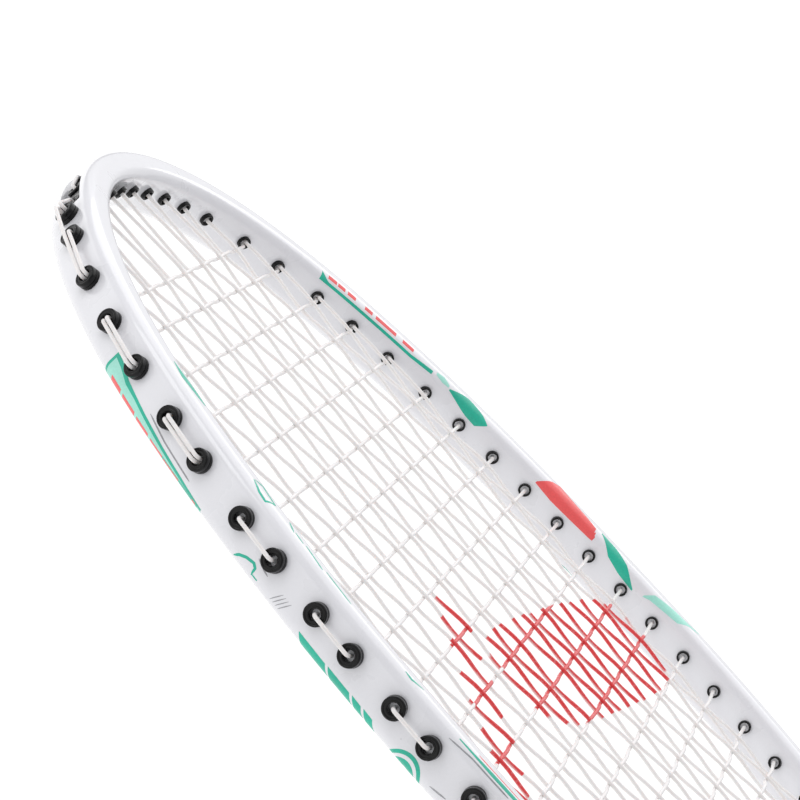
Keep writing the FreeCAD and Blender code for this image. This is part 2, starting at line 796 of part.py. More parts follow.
collar_cone = doc.addObject("Part::Cone", "collar_cone")
collar_cone.setExpression("Radius1", "sizes.shaft_diameter / 2 + 0.4")
collar_cone.setExpression("Radius2", "sizes.frame_depth / 2 - 0.1")
collar_cone.setExpression("Height", "sizes.throat_collar_length + 2")
collar_cone.Placement = FreeCAD.Placement(V(0, 0, 0), ALONG_Y)
collar_cone.setExpression("Placement.Base.y", THROAT_Y + " - sizes.throat_collar_length")
frame_envelope = feature("frame_envelope", frame_outside)
collar_tool = fuse("collar_tool", frame_envelope, shaft_outside)
throat_collar = cut("throat_collar", collar_cone, collar_tool)


# ---------------------------------------------------------------- handle

CORE = ("sizes.core_width", "sizes.core_height")
CAP = ("sizes.cap_width", "sizes.cap_height")
CORE_TOP = "(sizes.handle_top - sizes.core_spigot_length)"
WRAP_TOP = "(%s + 8)" % CORE_TOP
TAPE_START = "(%s - sizes.tape_length)" % WRAP_TOP

core_bar = octagon_body("core_bar", "sizes.cap_floor", CORE_TOP + " - sizes.cap_floor", octagon(*CORE))
core_spigot = rod("core_spigot", "sizes.core_spigot_diameter", CORE_TOP + " - 1",
                  "sizes.core_spigot_length + 1")
core_stock = fuse("core_stock", core_bar, core_spigot)
shaft_socket = rod("shaft_socket", "sizes.shaft_diameter", "sizes.shaft_seat",
                   "sizes.handle_top - sizes.shaft_seat + 1")


def cap_tacks(name, growth):
    """The two tacks that hold the butt cap, through its top and bottom sides."""
    skirt = "(sizes.core_height / 2 + sizes.cap_skirt)"
    pieces = []
    for word, sign, drop in (("upper", "", "sizes.tack_length"), ("lower", "-", "0")):
        stem = doc.addObject("Part::Cylinder", "%s_%s_stem" % (name, word))
        stem.setExpression("Radius", "sizes.tack_diameter / 2")
        stem.setExpression("Height", "sizes.tack_length")
        stem.setExpression("Placement.Base.y", "sizes.tack_place")
        stem.setExpression("Placement.Base.z", "%s%s - %s" % (sign, skirt, drop))
        head = doc.addObject("Part::Cylinder", "%s_%s_head" % (name, word))
        head.setExpression("Radius", "sizes.tack_head_diameter / 2")
        head.setExpression("Height", "sizes.tack_head_thickness + %s" % growth)
        head.setExpression("Placement.Base.y", "sizes.tack_place")
        low = "-%s - %s" % (skirt, growth) if sign else "%s - sizes.tack_head_thickness" % skirt
        head.setExpression("Placement.Base.z", low)
        pieces.append(fuse("%s_%s" % (name, word), stem, head))
    return pieces


tack_bores = cap_tacks("tack_bore", "2")
core_bores = fuse("core_bores", shaft_socket, pin_bore, *tack_bores)
handle_core = cut("handle_core", core_stock, core_bores)

shaft_pin = rod("shaft_pin", "sizes.pin_diameter", "sizes.pin_place", "sizes.pin_length", "z")
shaft_pin.Label = "shaft_pin"

CONE_GRIP = "(sizes.core_width / 2 + sizes.backing_thickness - 1.1)"
cone_cap = turned_body("cone_cap", [
    ("sizes.core_spigot_diameter / 2", "0"),
    (CONE_GRIP, "0"),
    (CONE_GRIP, "8.5"),
    ("sizes.cone_tip_diameter / 2 + 1.6", "sizes.cone_length - 6"),
    ("sizes.cone_tip_diameter / 2", "sizes.cone_length"),
    ("sizes.shaft_diameter / 2", "sizes.cone_length"),
    ("sizes.shaft_diameter / 2", "sizes.core_spigot_length"),
    ("sizes.core_spigot_diameter / 2", "sizes.core_spigot_length"),
], CORE_TOP)

cap_outside = octagon_loft("cap_outside", "0", "sizes.cap_length",
                           octagon(*CAP), octagon(*CORE, growth="sizes.cap_skirt"))
disc_seat = rod("disc_seat", "sizes.disc_diameter", "-1", "sizes.disc_thickness + 1")
cap_tool = fuse("cap_tool", core_bar, disc_seat, *tack_bores)
butt_cap = cut("butt_cap", cap_outside, cap_tool)
butt_disc = rod("butt_disc", "sizes.disc_diameter", "0", "sizes.disc_thickness")
butt_disc.Label = "butt_disc"
tack_pieces = cap_tacks("butt_cap_tack", "0")
butt_cap_tacks = doc.addObject("Part::Compound", "butt_cap_tacks")
butt_cap_tacks.Links = tack_pieces

backing_outside = octagon_body("backing_outside", "sizes.cap_length", CORE_TOP + " - sizes.cap_length",
                               octagon(*CORE, growth="sizes.backing_thickness"))
grip_backing = cut("grip_backing", backing_outside, core_bar)

WRAP_GROWTH = "(sizes.backing_thickness + sizes.wrap_thickness)"
wrap_flare = octagon_loft("wrap_flare", "sizes.wrap_start", "sizes.flare_top - sizes.wrap_start",
                          octagon(*CORE, growth="(%s + sizes.flare_extra)" % WRAP_GROWTH),
                          octagon(*CORE, growth=WRAP_GROWTH))
wrap_bar = octagon_body("wrap_bar", "sizes.flare_top", TAPE_START + " - sizes.flare_top",
                        octagon(*CORE, growth=WRAP_GROWTH))
# The finishing tape presses the end of the wrap in by its own thickness.
PRESSED_GROWTH = "(%s - sizes.tape_thickness)" % WRAP_GROWTH
wrap_end = octagon_body("wrap_end", TAPE_START, "sizes.tape_length", octagon(*CORE, growth=PRESSED_GROWTH))
wrap_stock = fuse("wrap_stock", wrap_flare, wrap_bar, wrap_end)
wrap_inside = octagon_body("wrap_inside", "sizes.cap_length", WRAP_TOP + " - sizes.cap_length + 1",
                           octagon(*CORE, growth="sizes.backing_thickness"))
wrap_tool = fuse("wrap_tool", cap_outside, wrap_inside)
grip_wrap = cut("grip_wrap", wrap_stock, wrap_tool)

tape_outside = octagon_body("tape_outside", TAPE_START, "sizes.tape_length",
                            octagon(*CORE, growth=WRAP_GROWTH))
tape_inside = octagon_body("tape_inside", TAPE_START + " - 1", "sizes.tape_length + 2",
                           octagon(*CORE, growth=PRESSED_GROWTH))
finishing_tape = cut("finishing_tape", tape_outside, tape_inside)

doc.recompute()


# ---------------------------------------------------------------- checks and export

NODES = [head_frame, t_joint, throat_collar, shaft, shaft_pin, cone_cap, handle_core,
         butt_cap, butt_disc, butt_cap_tacks, grip_backing, grip_wrap, finishing_tape,
         left_grommets, right_grommets, tip_grommet_strip, throat_grommets,
         main_string, cross_string, string_knots]

for item in doc.Objects:
    for state in item.State:
        assert state not in ("Invalid", "Error"), (item.Label, item.State)

os.makedirs("parts", exist_ok=True)
for node in NODES:
    assert not node.Shape.isNull() and node.Shape.isValid(), node.Label
    assert node.Shape.Volume > 0, node.Label
    node.Shape.exportStep("parts/%s.step" % node.Label)
    print("%-20s %2d solid(s) %9.1f mm3" % (node.Label, len(node.Shape.Solids), node.Shape.Volume))
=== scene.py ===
from math import cos, hypot, pi, radians, sin, sqrt

import bmesh
import bpy
from mathutils import Matrix, Vector


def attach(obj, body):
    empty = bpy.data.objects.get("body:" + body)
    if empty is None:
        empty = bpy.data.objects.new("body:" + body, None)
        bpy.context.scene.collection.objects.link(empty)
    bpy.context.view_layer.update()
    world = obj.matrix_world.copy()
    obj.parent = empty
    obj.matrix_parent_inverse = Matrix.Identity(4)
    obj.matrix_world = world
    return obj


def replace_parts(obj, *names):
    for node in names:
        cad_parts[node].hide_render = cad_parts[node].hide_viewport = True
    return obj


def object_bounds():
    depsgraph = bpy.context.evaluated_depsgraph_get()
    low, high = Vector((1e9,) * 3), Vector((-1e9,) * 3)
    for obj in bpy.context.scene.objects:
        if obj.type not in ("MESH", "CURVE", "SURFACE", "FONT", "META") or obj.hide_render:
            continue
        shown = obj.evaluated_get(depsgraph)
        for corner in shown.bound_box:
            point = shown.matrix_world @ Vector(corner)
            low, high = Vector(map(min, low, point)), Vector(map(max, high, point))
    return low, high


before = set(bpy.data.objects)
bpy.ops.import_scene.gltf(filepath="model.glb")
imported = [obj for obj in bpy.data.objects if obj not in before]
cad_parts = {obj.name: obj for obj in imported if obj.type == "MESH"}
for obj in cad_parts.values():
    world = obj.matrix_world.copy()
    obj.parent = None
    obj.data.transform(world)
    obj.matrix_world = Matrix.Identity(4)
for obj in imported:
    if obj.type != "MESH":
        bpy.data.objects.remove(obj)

CAD_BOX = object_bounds()

# Badminton racket. Lengths in this script are in millimetres, like the CAD's own sizes,
# and MM turns them into Blender's metres.
MM = 0.001

OVERALL_LENGTH = 675.0
FRAME_WIDTH = 6.4
FRAME_DEPTH = 10.3
FRAME_CORNER = 2.1
HALF_DEPTH = FRAME_DEPTH / 2
HEAD_HALF_WIDTH = 93.5
HEAD_UPPER_LENGTH = 132.1
HEAD_LOWER_LENGTH = 104.5
WIDEST = OVERALL_LENGTH - FRAME_WIDTH - HEAD_UPPER_LENGTH
GROOVE_DEPTH = 1.6
GROOVE_HALF_SPAN = 30.5
# the string holes lie a little above the middle of the frame's depth
HOLE_RISE = 0.5


# ---------------------------------------------------------------- camera

CAMERA_PLACE = Vector((-775.5, 591.4, 179.0)) * MM
CAMERA_YAW = radians(1.143)
CAMERA_PITCH = radians(-12.055)
CAMERA_ROLL = radians(-47.263)
CAMERA_LENS = 201.48

ahead = Vector((cos(CAMERA_PITCH) * cos(CAMERA_YAW), cos(CAMERA_PITCH) * sin(CAMERA_YAW),
                sin(CAMERA_PITCH)))
level_right = ahead.cross(Vector((0, 0, 1))).normalized()
level_up = level_right.cross(ahead)
view_up = level_up * cos(CAMERA_ROLL) + level_right * sin(CAMERA_ROLL)
view_right = level_right * cos(CAMERA_ROLL) - level_up * sin(CAMERA_ROLL)

camera_data = bpy.data.cameras.new("camera")
camera_data.sensor_width = 36.0
camera_data.lens = CAMERA_LENS
camera_data.clip_start = 0.01
camera_data.clip_end = 50.0
camera = bpy.data.objects.new("camera", camera_data)
camera.matrix_world = Matrix.Translation(CAMERA_PLACE) @ Matrix(
    (view_right, view_up, -ahead)).transposed().to_4x4()
bpy.context.scene.collection.objects.link(camera)
bpy.context.scene.camera = camera


# ---------------------------------------------------------------- materials

class Finish:
    """A node material, with short calls to add nodes and to reach the surface shader."""

    def __init__(self, name, **values):
        self.material = bpy.data.materials.new(name)
        self.material.use_nodes = True
        self.tree = self.material.node_tree
        self.surface = self.tree.nodes["Principled BSDF"]
        self.set(self.surface, values)
        self.place = self.node("ShaderNodeTexCoord").outputs["Object"]

    def set(self, node, values):
        for key, value in values.items():
            socket = node.inputs[int(key[1:]) if key[0] == "_" else key.replace("_", " ")]
            if isinstance(value, bpy.types.NodeSocket):
                self.tree.links.new(value, socket)
            else:
                socket.default_value = value

    def node(self, kind, settings=None, **values):
        node = self.tree.nodes.new(kind)
        for key, value in (settings or {}).items():
            setattr(node, key, value)
        self.set(node, values)
        return node

    def math(self, operation, a, b=0.0):
        node = self.node("ShaderNodeMath", {"operation": operation}, _0=a, _1=b)
        return node.outputs[0]

    def noise(self, scale, detail=3.0, roughness=0.5, vector=None):
        node = self.node("ShaderNodeTexNoise", Scale=scale, Detail=detail, Roughness=roughness,
                         Vector=vector or self.place)
        return node.outputs["Fac"]

    def stretched(self, x, y, z):
        node = self.node("ShaderNodeMapping", {"vector_type": "POINT"}, Vector=self.place)
        node.inputs["Scale"].default_value = (x, y, z)
        return node.outputs["Vector"]

    def remap(self, value, low, high, new_low=0.0, new_high=1.0):
        node = self.node("ShaderNodeMapRange", {"interpolation_type": "SMOOTHSTEP"},
                         Value=value, From_Min=low, From_Max=high, To_Min=new_low, To_Max=new_high)
        return node.outputs["Result"]

    def mix(self, share, first, second):
        node = self.node("ShaderNodeMix", {"data_type": "RGBA"})
        self.set(node, {"Factor": share})
        for socket, value in zip((node.inputs[6], node.inputs[7]), (first, second)):
            if isinstance(value, bpy.types.NodeSocket):
                self.tree.links.new(value, socket)
            else:
                socket.default_value = (*value, 1.0)
        return node.outputs[2]

    def colour(self, value):
        self.set(self.surface, {"Base Color": value})

    def roughness(self, value):
        self.set(self.surface, {"Roughness": value})

    def bump(self, height, distance, strength=1.0, before=None):
        """Adds relief; distance is its full height in millimetres."""
        values = {"Height": height, "Distance": distance * MM, "Strength": strength}
        if before is not None:
            values["Normal"] = before
        node = self.node("ShaderNodeBump", **values)
        self.set(self.surface, {"Normal": node.outputs["Normal"]})
        return node.outputs["Normal"]


def shade(colour, factor):
    return tuple(min(1.0, c * factor) for c in colour)


def lacquer(name, colour, mottle=0.04, coat=1.0, roughness=0.30):
    """Sprayed paint under clear coat: faint cloudiness, orange peel and fine dust."""
    finish = Finish(name, Coat_Weight=coat, Coat_Roughness=0.06, Coat_IOR=1.5)
    cloud = finish.noise(90.0, 4.0)
    grain = finish.noise(2600.0, 2.0)
    share = finish.remap(finish.math("ADD", finish.math("MULTIPLY", cloud, 0.6),
                                     finish.math("MULTIPLY", grain, 0.4)), 0.35, 0.65)
    body = finish.mix(share, shade(colour, 1 - mottle), shade(colour, 1 + mottle))
    dust = finish.node("ShaderNodeTexVoronoi", Scale=190.0, Vector=finish.place)
    speck = finish.remap(dust.outputs["Distance"], 0.035, 0.020)
    rare = finish.remap(finish.noise(310.0, 0.0), 0.60, 0.62)
    speck = finish.math("MULTIPLY", finish.math("MULTIPLY", speck, rare), 0.30)
    finish.colour(finish.mix(speck, body, shade(colour, 0.5)))
    finish.roughness(finish.remap(cloud, 0.3, 0.7, roughness - 0.05, roughness + 0.06))
    finish.bump(finish.noise(260.0, 2.0), 0.004, 0.4)
    return finish.material


WHITE = (0.80, 0.80, 0.83)
MINT = (0.008, 0.47, 0.32)
PALE_MINT = (0.36, 0.78, 0.66)
CORAL = (0.90, 0.10, 0.10)
GREY = (0.34, 0.34, 0.36)
RED_INK = (0.70, 0.030, 0.035)
STRING_WHITE = (0.84, 0.815, 0.805)

frame_lacquer = lacquer("frame_lacquer", WHITE, 0.012)
mint_film = lacquer("mint_film", MINT, 0.10, 0.3, 0.45)
pale_mint_film = lacquer("pale_mint_film", PALE_MINT, 0.06, 0.3, 0.45)
coral_film = lacquer("coral_film", CORAL, 0.06, 0.3, 0.45)
grey_film = lacquer("grey_film", GREY, 0.25)


def moulded_nylon(name, colour, roughness, scale=700.0, specular=0.5, worn=1.15):
    """Injection-moulded plastic: satin, with fine flow texture and small scuffs."""
    finish = Finish(name, Specular_IOR_Level=specular)
    flow = finish.noise(scale, 4.0)
    scuff = finish.remap(finish.noise(scale * 1.7, 6.0, 0.7), 0.56, 0.68)
    finish.colour(finish.mix(finish.math("MULTIPLY", scuff, 0.6), colour, shade(colour, worn)))
    finish.roughness(finish.remap(flow, 0.3, 0.7, roughness - 0.08, roughness + 0.12))
    finish.bump(flow, 0.03, 0.5)
    return finish.material


grommet_nylon = moulded_nylon("grommet_nylon", (0.0012, 0.0012, 0.0014), 0.20, 1100.0, 0.28, 3.0)
cap_plastic = moulded_nylon("cap_plastic", (0.62, 0.62, 0.64), 0.42, 260.0)
joint_plastic = moulded_nylon("joint_plastic", (0.030, 0.033, 0.036), 0.42, 260.0)
cone_plastic = moulded_nylon("cone_plastic", (0.72, 0.72, 0.74), 0.30, 200.0)


FILAMENT_PITCH = 0.34
# each part of the mark: centre X and Y, half length, half width and turn in degrees
MARK_PATCH = (24.0, 550.0, 54.0, 12.0, -8.0)
MARK_STROKE = (-52.0, 560.0, 34.0, 4.6, 28.0)


def string_finish(name, runs_up):
    """Woven multifilament string: off-white, with fine diagonal filaments, and the inked mark.

    runs_up is true for a string that runs up the head (Y), false for one across it (X).
    """
    finish = Finish(name, Coat_Weight=0.35, Coat_Roughness=0.22, Subsurface_Weight=0.30,
                    Subsurface_Scale=0.5 * MM)
    finish.surface.inputs["Subsurface Radius"].default_value = (1.0, 0.9, 0.85)
    parts = finish.node("ShaderNodeSeparateXYZ", Vector=finish.place)
    x, y, z = parts.outputs
    run, side = (y, x) if runs_up else (x, y)
    # filaments wind round the string, so they slant across it
    slant = finish.math("ADD", run, finish.math("MULTIPLY", finish.math("ADD", side, z), 1.1))
    filament = finish.math("SINE", finish.math("MULTIPLY", slant, 2 * pi / (FILAMENT_PITCH * MM)))
    fray = finish.noise(5200.0, 3.0)
    relief = finish.math("ADD", finish.math("MULTIPLY", filament, 0.30), fray)
    cloud = finish.noise(160.0, 3.0)
    thread = finish.mix(finish.remap(relief, 0.2, 1.0), shade(STRING_WHITE, 0.96), STRING_WHITE)
    thread = finish.mix(finish.remap(cloud, 0.35, 0.75, 0.0, 0.25), thread, (0.76, 0.72, 0.70))

    # the mark: a long rounded patch and a slanted stroke, brushed on through a stencil
    wobble = finish.math("MULTIPLY", finish.math("SUBTRACT", finish.noise(700.0, 2.0), 0.5), 0.10)

    def fourth_power(distance, half):
        share = finish.math("ABSOLUTE", finish.math("DIVIDE", distance, half))
        return finish.math("POWER", share, 4.0)

    def inside(shape):
        centre_x, centre_y, half_length, half_width, turn = shape
        along_x = finish.math("DIVIDE", finish.math("SUBTRACT", x, centre_x * MM), MM)
        along_y = finish.math("DIVIDE", finish.math("SUBTRACT", y, centre_y * MM), MM)
        c, t = cos(radians(turn)), sin(radians(turn))
        p = finish.math("ADD", finish.math("MULTIPLY", along_x, c),
                        finish.math("MULTIPLY", along_y, t))
        q = finish.math("SUBTRACT", finish.math("MULTIPLY", along_y, c),
                        finish.math("MULTIPLY", along_x, t))
        reach = finish.math("ADD", fourth_power(p, half_length), fourth_power(q, half_width))
        return finish.remap(finish.math("ADD", reach, wobble), 1.0, 0.93)

    inked = finish.math("MAXIMUM", inside(MARK_PATCH), inside(MARK_STROKE))
    # ink reaches the upper side of the strings and thins out round their sides
    upper = finish.remap(z, (HOLE_RISE - 0.55) * MM, (HOLE_RISE - 0.05) * MM, 0.35, 1.0)
    streak = finish.remap(finish.noise(2200.0, 3.0), 0.25, 0.5, 0.82, 1.0)
    share = finish.math("MULTIPLY", finish.math("MULTIPLY", inked, upper), streak)
    finish.colour(finish.mix(share, thread, RED_INK))
    finish.roughness(finish.remap(relief, 0.2, 1.2, 0.52, 0.36))
    finish.bump(relief, 0.02, 0.35)
    return finish.material


main_nylon = string_finish("main_string_nylon", True)
cross_nylon = string_finish("cross_string_nylon", False)


def metal(name, colour, roughness):
    finish = Finish(name, Metallic=1.0)
    brushed = finish.noise(900.0, 4.0, 0.6, finish.stretched(1.0, 0.1, 1.0))
    finish.colour(finish.mix(brushed, shade(colour, 0.85), colour))
    finish.roughness(finish.remap(brushed, 0.3, 0.7, roughness - 0.06, roughness + 0.1))
    finish.bump(brushed, 0.01, 0.4)
    return finish.material


fastener_steel = metal("fastener_steel", (0.62, 0.62, 0.60), 0.32)


def wood(name):
    finish = Finish(name, Roughness=0.55)
    rings = finish.noise(300.0, 5.0, 0.6, finish.stretched(1.0, 0.06, 1.0))
    finish.colour(finish.mix(rings, (0.42, 0.25, 0.12), (0.66, 0.46, 0.26)))
    finish.bump(rings, 0.05, 0.5)
    return finish.material


def foam(name):
    finish = Finish(name, Roughness=0.85)
    cells = finish.noise(1800.0, 2.0)
    # the foam is painted darker in its low cells, where the bump sinks: painted shade in its pores
    finish.colour(finish.mix(cells, (0.62, 0.62, 0.60), (0.74, 0.74, 0.72)))
    finish.bump(cells, 0.12, 0.8)
    return finish.material


handle_wood = wood("handle_wood")
backing_foam = foam("backing_foam")


ROW_SPACING = 3.2
HOLE_SPACING = 3.6


def grip_skin_finish():
    """Tacky polyurethane: pebbled skin with rows of small perforations."""
    finish = Finish("grip_skin", Coat_Weight=0.12, Coat_Roughness=0.35, Specular_IOR_Level=0.45)
    pebble = finish.node("ShaderNodeTexVoronoi", Scale=1500.0, Vector=finish.place)
    skin = finish.noise(120.0, 4.0)
    colour = finish.mix(skin, (0.66, 0.665, 0.68), (0.76, 0.76, 0.77))
    strip = finish.node("ShaderNodeAttribute", {"attribute_name": "strip"})
    parts = finish.node("ShaderNodeSeparateXYZ", Vector=strip.outputs["Vector"])
    along, across = parts.outputs[0], parts.outputs[1]
    # perforations stand in staggered rows, in strip millimetres
    row = finish.math("DIVIDE", across, ROW_SPACING)
    shift = finish.math("MULTIPLY", finish.math("MODULO", finish.math("FLOOR", row), 2.0), 0.5)
    column = finish.math("ADD", finish.math("DIVIDE", along, HOLE_SPACING), shift)
    u = finish.math("SUBTRACT", finish.math("FRACT", column), 0.5)
    v = finish.math("SUBTRACT", finish.math("FRACT", row), 0.5)
    square_u = finish.math("POWER", finish.math("MULTIPLY", u, HOLE_SPACING), 2.0)
    square_v = finish.math("POWER", finish.math("MULTIPLY", v, ROW_SPACING), 2.0)
    reach = finish.math("SQRT", finish.math("ADD", square_u, square_v))
    hole = finish.remap(reach, 0.55, 0.38)
    # the perforations are painted dark where the strip has no holes: painted shade inside the
    # perforations
    finish.colour(finish.mix(hole, colour, (0.16, 0.16, 0.17)))
    finish.roughness(finish.remap(skin, 0.3, 0.7, 0.48, 0.62))
    first = finish.bump(pebble.outputs["Distance"], 0.05, 0.35)
    finish.bump(finish.math("SUBTRACT", 1.0, hole), 0.35, 0.8, first)
    return finish.material


grip_skin = grip_skin_finish()


def tape_finish():
    finish = Finish("tape_film", Coat_Weight=0.5, Coat_Roughness=0.15)
    crease = finish.noise(260.0, 3.0, 0.5, finish.stretched(1.0, 3.0, 1.0))
    # the green is painted darker in the creases' valleys, where the bump sinks: painted shade in the
    # creases
    finish.colour(finish.mix(crease, (0.030, 0.42, 0.31), (0.055, 0.54, 0.41)))
    finish.roughness(finish.remap(crease, 0.3, 0.7, 0.25, 0.4))
    finish.bump(crease, 0.12, 0.5)
    return finish.material


tape_film = tape_finish()


# ---------------------------------------------------------------- mesh helpers

def new_piece(name, vertices, faces, material, slot, smooth_angle):
    """A mesh object from millimetre vertices, smooth-shaded apart from its sharp edges."""
    mesh = bpy.data.meshes.new(name)
    mesh.from_pydata([tuple(c * MM for c in v) for v in vertices], [], faces)
    work = bmesh.new()
    work.from_mesh(mesh)
    bmesh.ops.recalc_face_normals(work, faces=work.faces)
    for edge in work.edges:
        edge.smooth = len(edge.link_faces) == 2 and edge.calc_face_angle(0.0) < radians(smooth_angle)
    for face in work.faces:
        face.smooth = True
    work.to_mesh(mesh)
    work.free()
    mesh.materials.append(material)
    piece = bpy.data.objects.new(name, mesh)
    bpy.context.scene.collection.objects.link(piece)
    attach(piece, "root")
    return piece


def stacked(sections, close=False):
    """Faces that join equal closed sections in a row; close joins the last to the first."""
    count = len(sections[0])
    vertices = [point for section in sections for point in section]
    faces = []
    rows = len(sections)
    for row in range(rows if close else rows - 1):
        below = row * count
        above = (row + 1) % rows * count
        for k in range(count):
            ahead = (k + 1) % count
            faces.append((below + k, below + ahead, above + ahead, above + k))
    if not close:
        faces.append(tuple(range(count - 1, -1, -1)))
        faces.append(tuple(range((rows - 1) * count, rows * count)))
    return vertices, faces


def turned(profile, place, axis, segments=40):
    """A closed ring turned about an axis from (radius, height) corners."""
    axis = Vector(axis).normalized()
    side = axis.orthogonal().normalized()
    across = axis.cross(side)
    sections = []
    for k in range(segments):
        angle = 2 * pi * k / segments
        out = side * cos(angle) + across * sin(angle)
        sections.append([Vector(place) + out * radius + axis * height for radius, height in profile])
    return stacked(sections, close=True)


def joined(parts):
    """One vertex and face list from several."""
    vertices, faces = [], []
    for some_vertices, some_faces in parts:
        base = len(vertices)
        vertices += some_vertices
        faces += [tuple(base + k for k in face) for face in some_faces]
    return vertices, faces


# ---------------------------------------------------------------- head outline

def quarter_arcs(half_width, length, first_angle, second_angle, middle_radius):
    """Three tangent arcs from the end of the oval to its widest point."""
    turns = [0.0, radians(first_angle), radians(second_angle), pi / 2]
    across = [sin(turns[k + 1]) - sin(turns[k]) for k in range(3)]
    along = [cos(turns[k]) - cos(turns[k + 1]) for k in range(3)]
    width_left = half_width - middle_radius * across[1]
    length_left = length - middle_radius * along[1]
    scale = across[0] * along[2] - across[2] * along[0]
    end_radius = (width_left * along[2] - across[2] * length_left) / scale
    side_radius = (across[0] * length_left - along[0] * width_left) / scale
    arcs = []
    x, y = 0.0, length
    for k, radius in enumerate((end_radius, middle_radius, side_radius)):
        centre = (x - radius * sin(turns[k]), y - radius * cos(turns[k]))
        arcs.append((turns[k], turns[k + 1], centre, radius))
        x = centre[0] + radius * sin(turns[k + 1])
        y = centre[1] + radius * cos(turns[k + 1])
    return arcs


# where the middle arc of each quarter starts and ends, in degrees, and its radius
UPPER_SHOULDER = (59.0, 81.0, 145.0)
LOWER_SHOULDER = (10.0, 68.0, 88.0)
upper_arcs = quarter_arcs(HEAD_HALF_WIDTH, HEAD_UPPER_LENGTH, *UPPER_SHOULDER)
lower_arcs = quarter_arcs(HEAD_HALF_WIDTH, HEAD_LOWER_LENGTH, *LOWER_SHOULDER)
ARCS = [(a, b, (c[0], WIDEST + c[1]), r) for a, b, c, r in upper_arcs]
ARCS += [(pi - b, pi - a, (c[0], WIDEST - c[1]), r) for a, b, c, r in reversed(lower_arcs)]


def wall_point(side, angle, offset, z=0.0):
    """A point on the inner wall, moved outward by offset; side is +1 or -1."""
    for start, end, centre, radius in ARCS:
        if angle <= end + 1e-9:
            break
    x = centre[0] + (radius + offset) * sin(angle)
    return Vector((side * x, centre[1] + (radius + offset) * cos(angle), z))


# length along the outer wall from the tip to the end of each arc
ARC_ENDS = [0.0]
for arc_start, arc_end, arc_centre, arc_radius in ARCS:
    ARC_ENDS.append(ARC_ENDS[-1] + (arc_end - arc_start) * (arc_radius + FRAME_WIDTH))
HALF_ROUND = ARC_ENDS[-1]


def side_and_angle(s):
    """Side and normal angle at the length s along the outer wall; s is negative on the -X side."""
    side = -1 if s < 0 else 1
    s = min(abs(s), HALF_ROUND)
    for k, (start, end, centre, radius) in enumerate(ARCS):
        if s <= ARC_ENDS[k + 1] + 1e-9:
            break
    return side, start + (s - ARC_ENDS[k]) / (radius + FRAME_WIDTH)


FLAT = HALF_DEPTH - FRAME_CORNER
BEND = FRAME_CORNER * pi / 2
FACE = FRAME_WIDTH - 2 * FRAME_CORNER
HALF_GIRTH = 2 * FLAT + 2 * BEND + FACE


def section_point(v):
    """Offset outward, height and normal at the girth v from the outer wall's middle."""
    up = -1 if v < 0 else 1
    v = abs(v)
    if v <= FLAT:
        n, z, dn, dz = FRAME_WIDTH, v, 1.0, 0.0
    elif v <= FLAT + BEND:
        a = (v - FLAT) / FRAME_CORNER
        dn, dz = cos(a), sin(a)
        n, z = FRAME_WIDTH - FRAME_CORNER * (1 - dn), FLAT + FRAME_CORNER * dz
    elif v <= FLAT + BEND + FACE:
        n, z, dn, dz = FRAME_WIDTH - FRAME_CORNER - (v - FLAT - BEND), HALF_DEPTH, 0.0, 1.0
    elif v <= FLAT + 2 * BEND + FACE:
        a = (v - FLAT - BEND - FACE) / FRAME_CORNER
        dn, dz = -sin(a), cos(a)
        n, z = FRAME_CORNER * (1 + dn), FLAT + FRAME_CORNER * dz
    else:
        n, z, dn, dz = 0.0, HALF_GIRTH - v, -1.0, 0.0
    return n, up * z, dn, up * dz


def ease(value, low, high):
    """0 at low and 1 at high, with soft ends; low may be above high."""
    t = min(1.0, max(0.0, (value - low) / (high - low)))
    return t * t * (3 - 2 * t)


GROOVE_HALF_WIDTH = 2.3
# how far the groove's lip reaches outside and inside that width, and its run-out along the hoop
LIP_OUTSIDE, LIP_INSIDE = 0.22, 0.02
RUN_OUT_START, RUN_OUT_END = 1.0, 3.0


def frame_surface(s, v, lift=0.0):
    """A point of the head frame's skin, at length s and girth v, raised by lift."""
    side, angle = side_and_angle(s)
    n, z, dn, dz = section_point(v)
    groove = ease(abs(v - HOLE_RISE), GROOVE_HALF_WIDTH + LIP_OUTSIDE, GROOVE_HALF_WIDTH - LIP_INSIDE)
    tip = ease(abs(s), GROOVE_HALF_SPAN + RUN_OUT_END, GROOVE_HALF_SPAN + RUN_OUT_START)
    n -= groove * GROOVE_DEPTH * tip
    return wall_point(side, angle, n + dn * lift, z + dz * lift)


LIP_STEPS = (0.8, 1.6, 2.15, 2.26, 2.33, 2.40, 2.47)


def girth_steps():
    """Places round the section, closer together on the bends and the groove's lips."""
    wall = sorted([HOLE_RISE] + [HOLE_RISE + sign * step for sign in (-1, 1) for step in LIP_STEPS])
    half = [FLAT + BEND * k / 10 for k in range(11)]
    half += [FLAT + BEND + FACE * k / 4 for k in range(1, 5)]
    half += [FLAT + BEND + FACE + BEND * k / 8 for k in range(1, 9)]
    half += [FLAT + 2 * BEND + FACE + FLAT * k / 4 for k in range(1, 5)]
    return wall + half + [-v for v in reversed(half[:-1])]


GIRTH = girth_steps()
RING_STEP = 1.4
half_rings = int(HALF_ROUND / RING_STEP)
ring_places = [HALF_ROUND * k / half_rings for k in range(half_rings + 1)]
ring_places += [-s for s in reversed(ring_places[1:-1])]
rings = [[frame_surface(s, v) for v in GIRTH] for s in ring_places]
head = new_piece("head_frame_skin", *stacked(rings, close=True), frame_lacquer, "frame_lacquer", 50.0)
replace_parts(head, "head_frame")


# ---------------------------------------------------------------- string holes

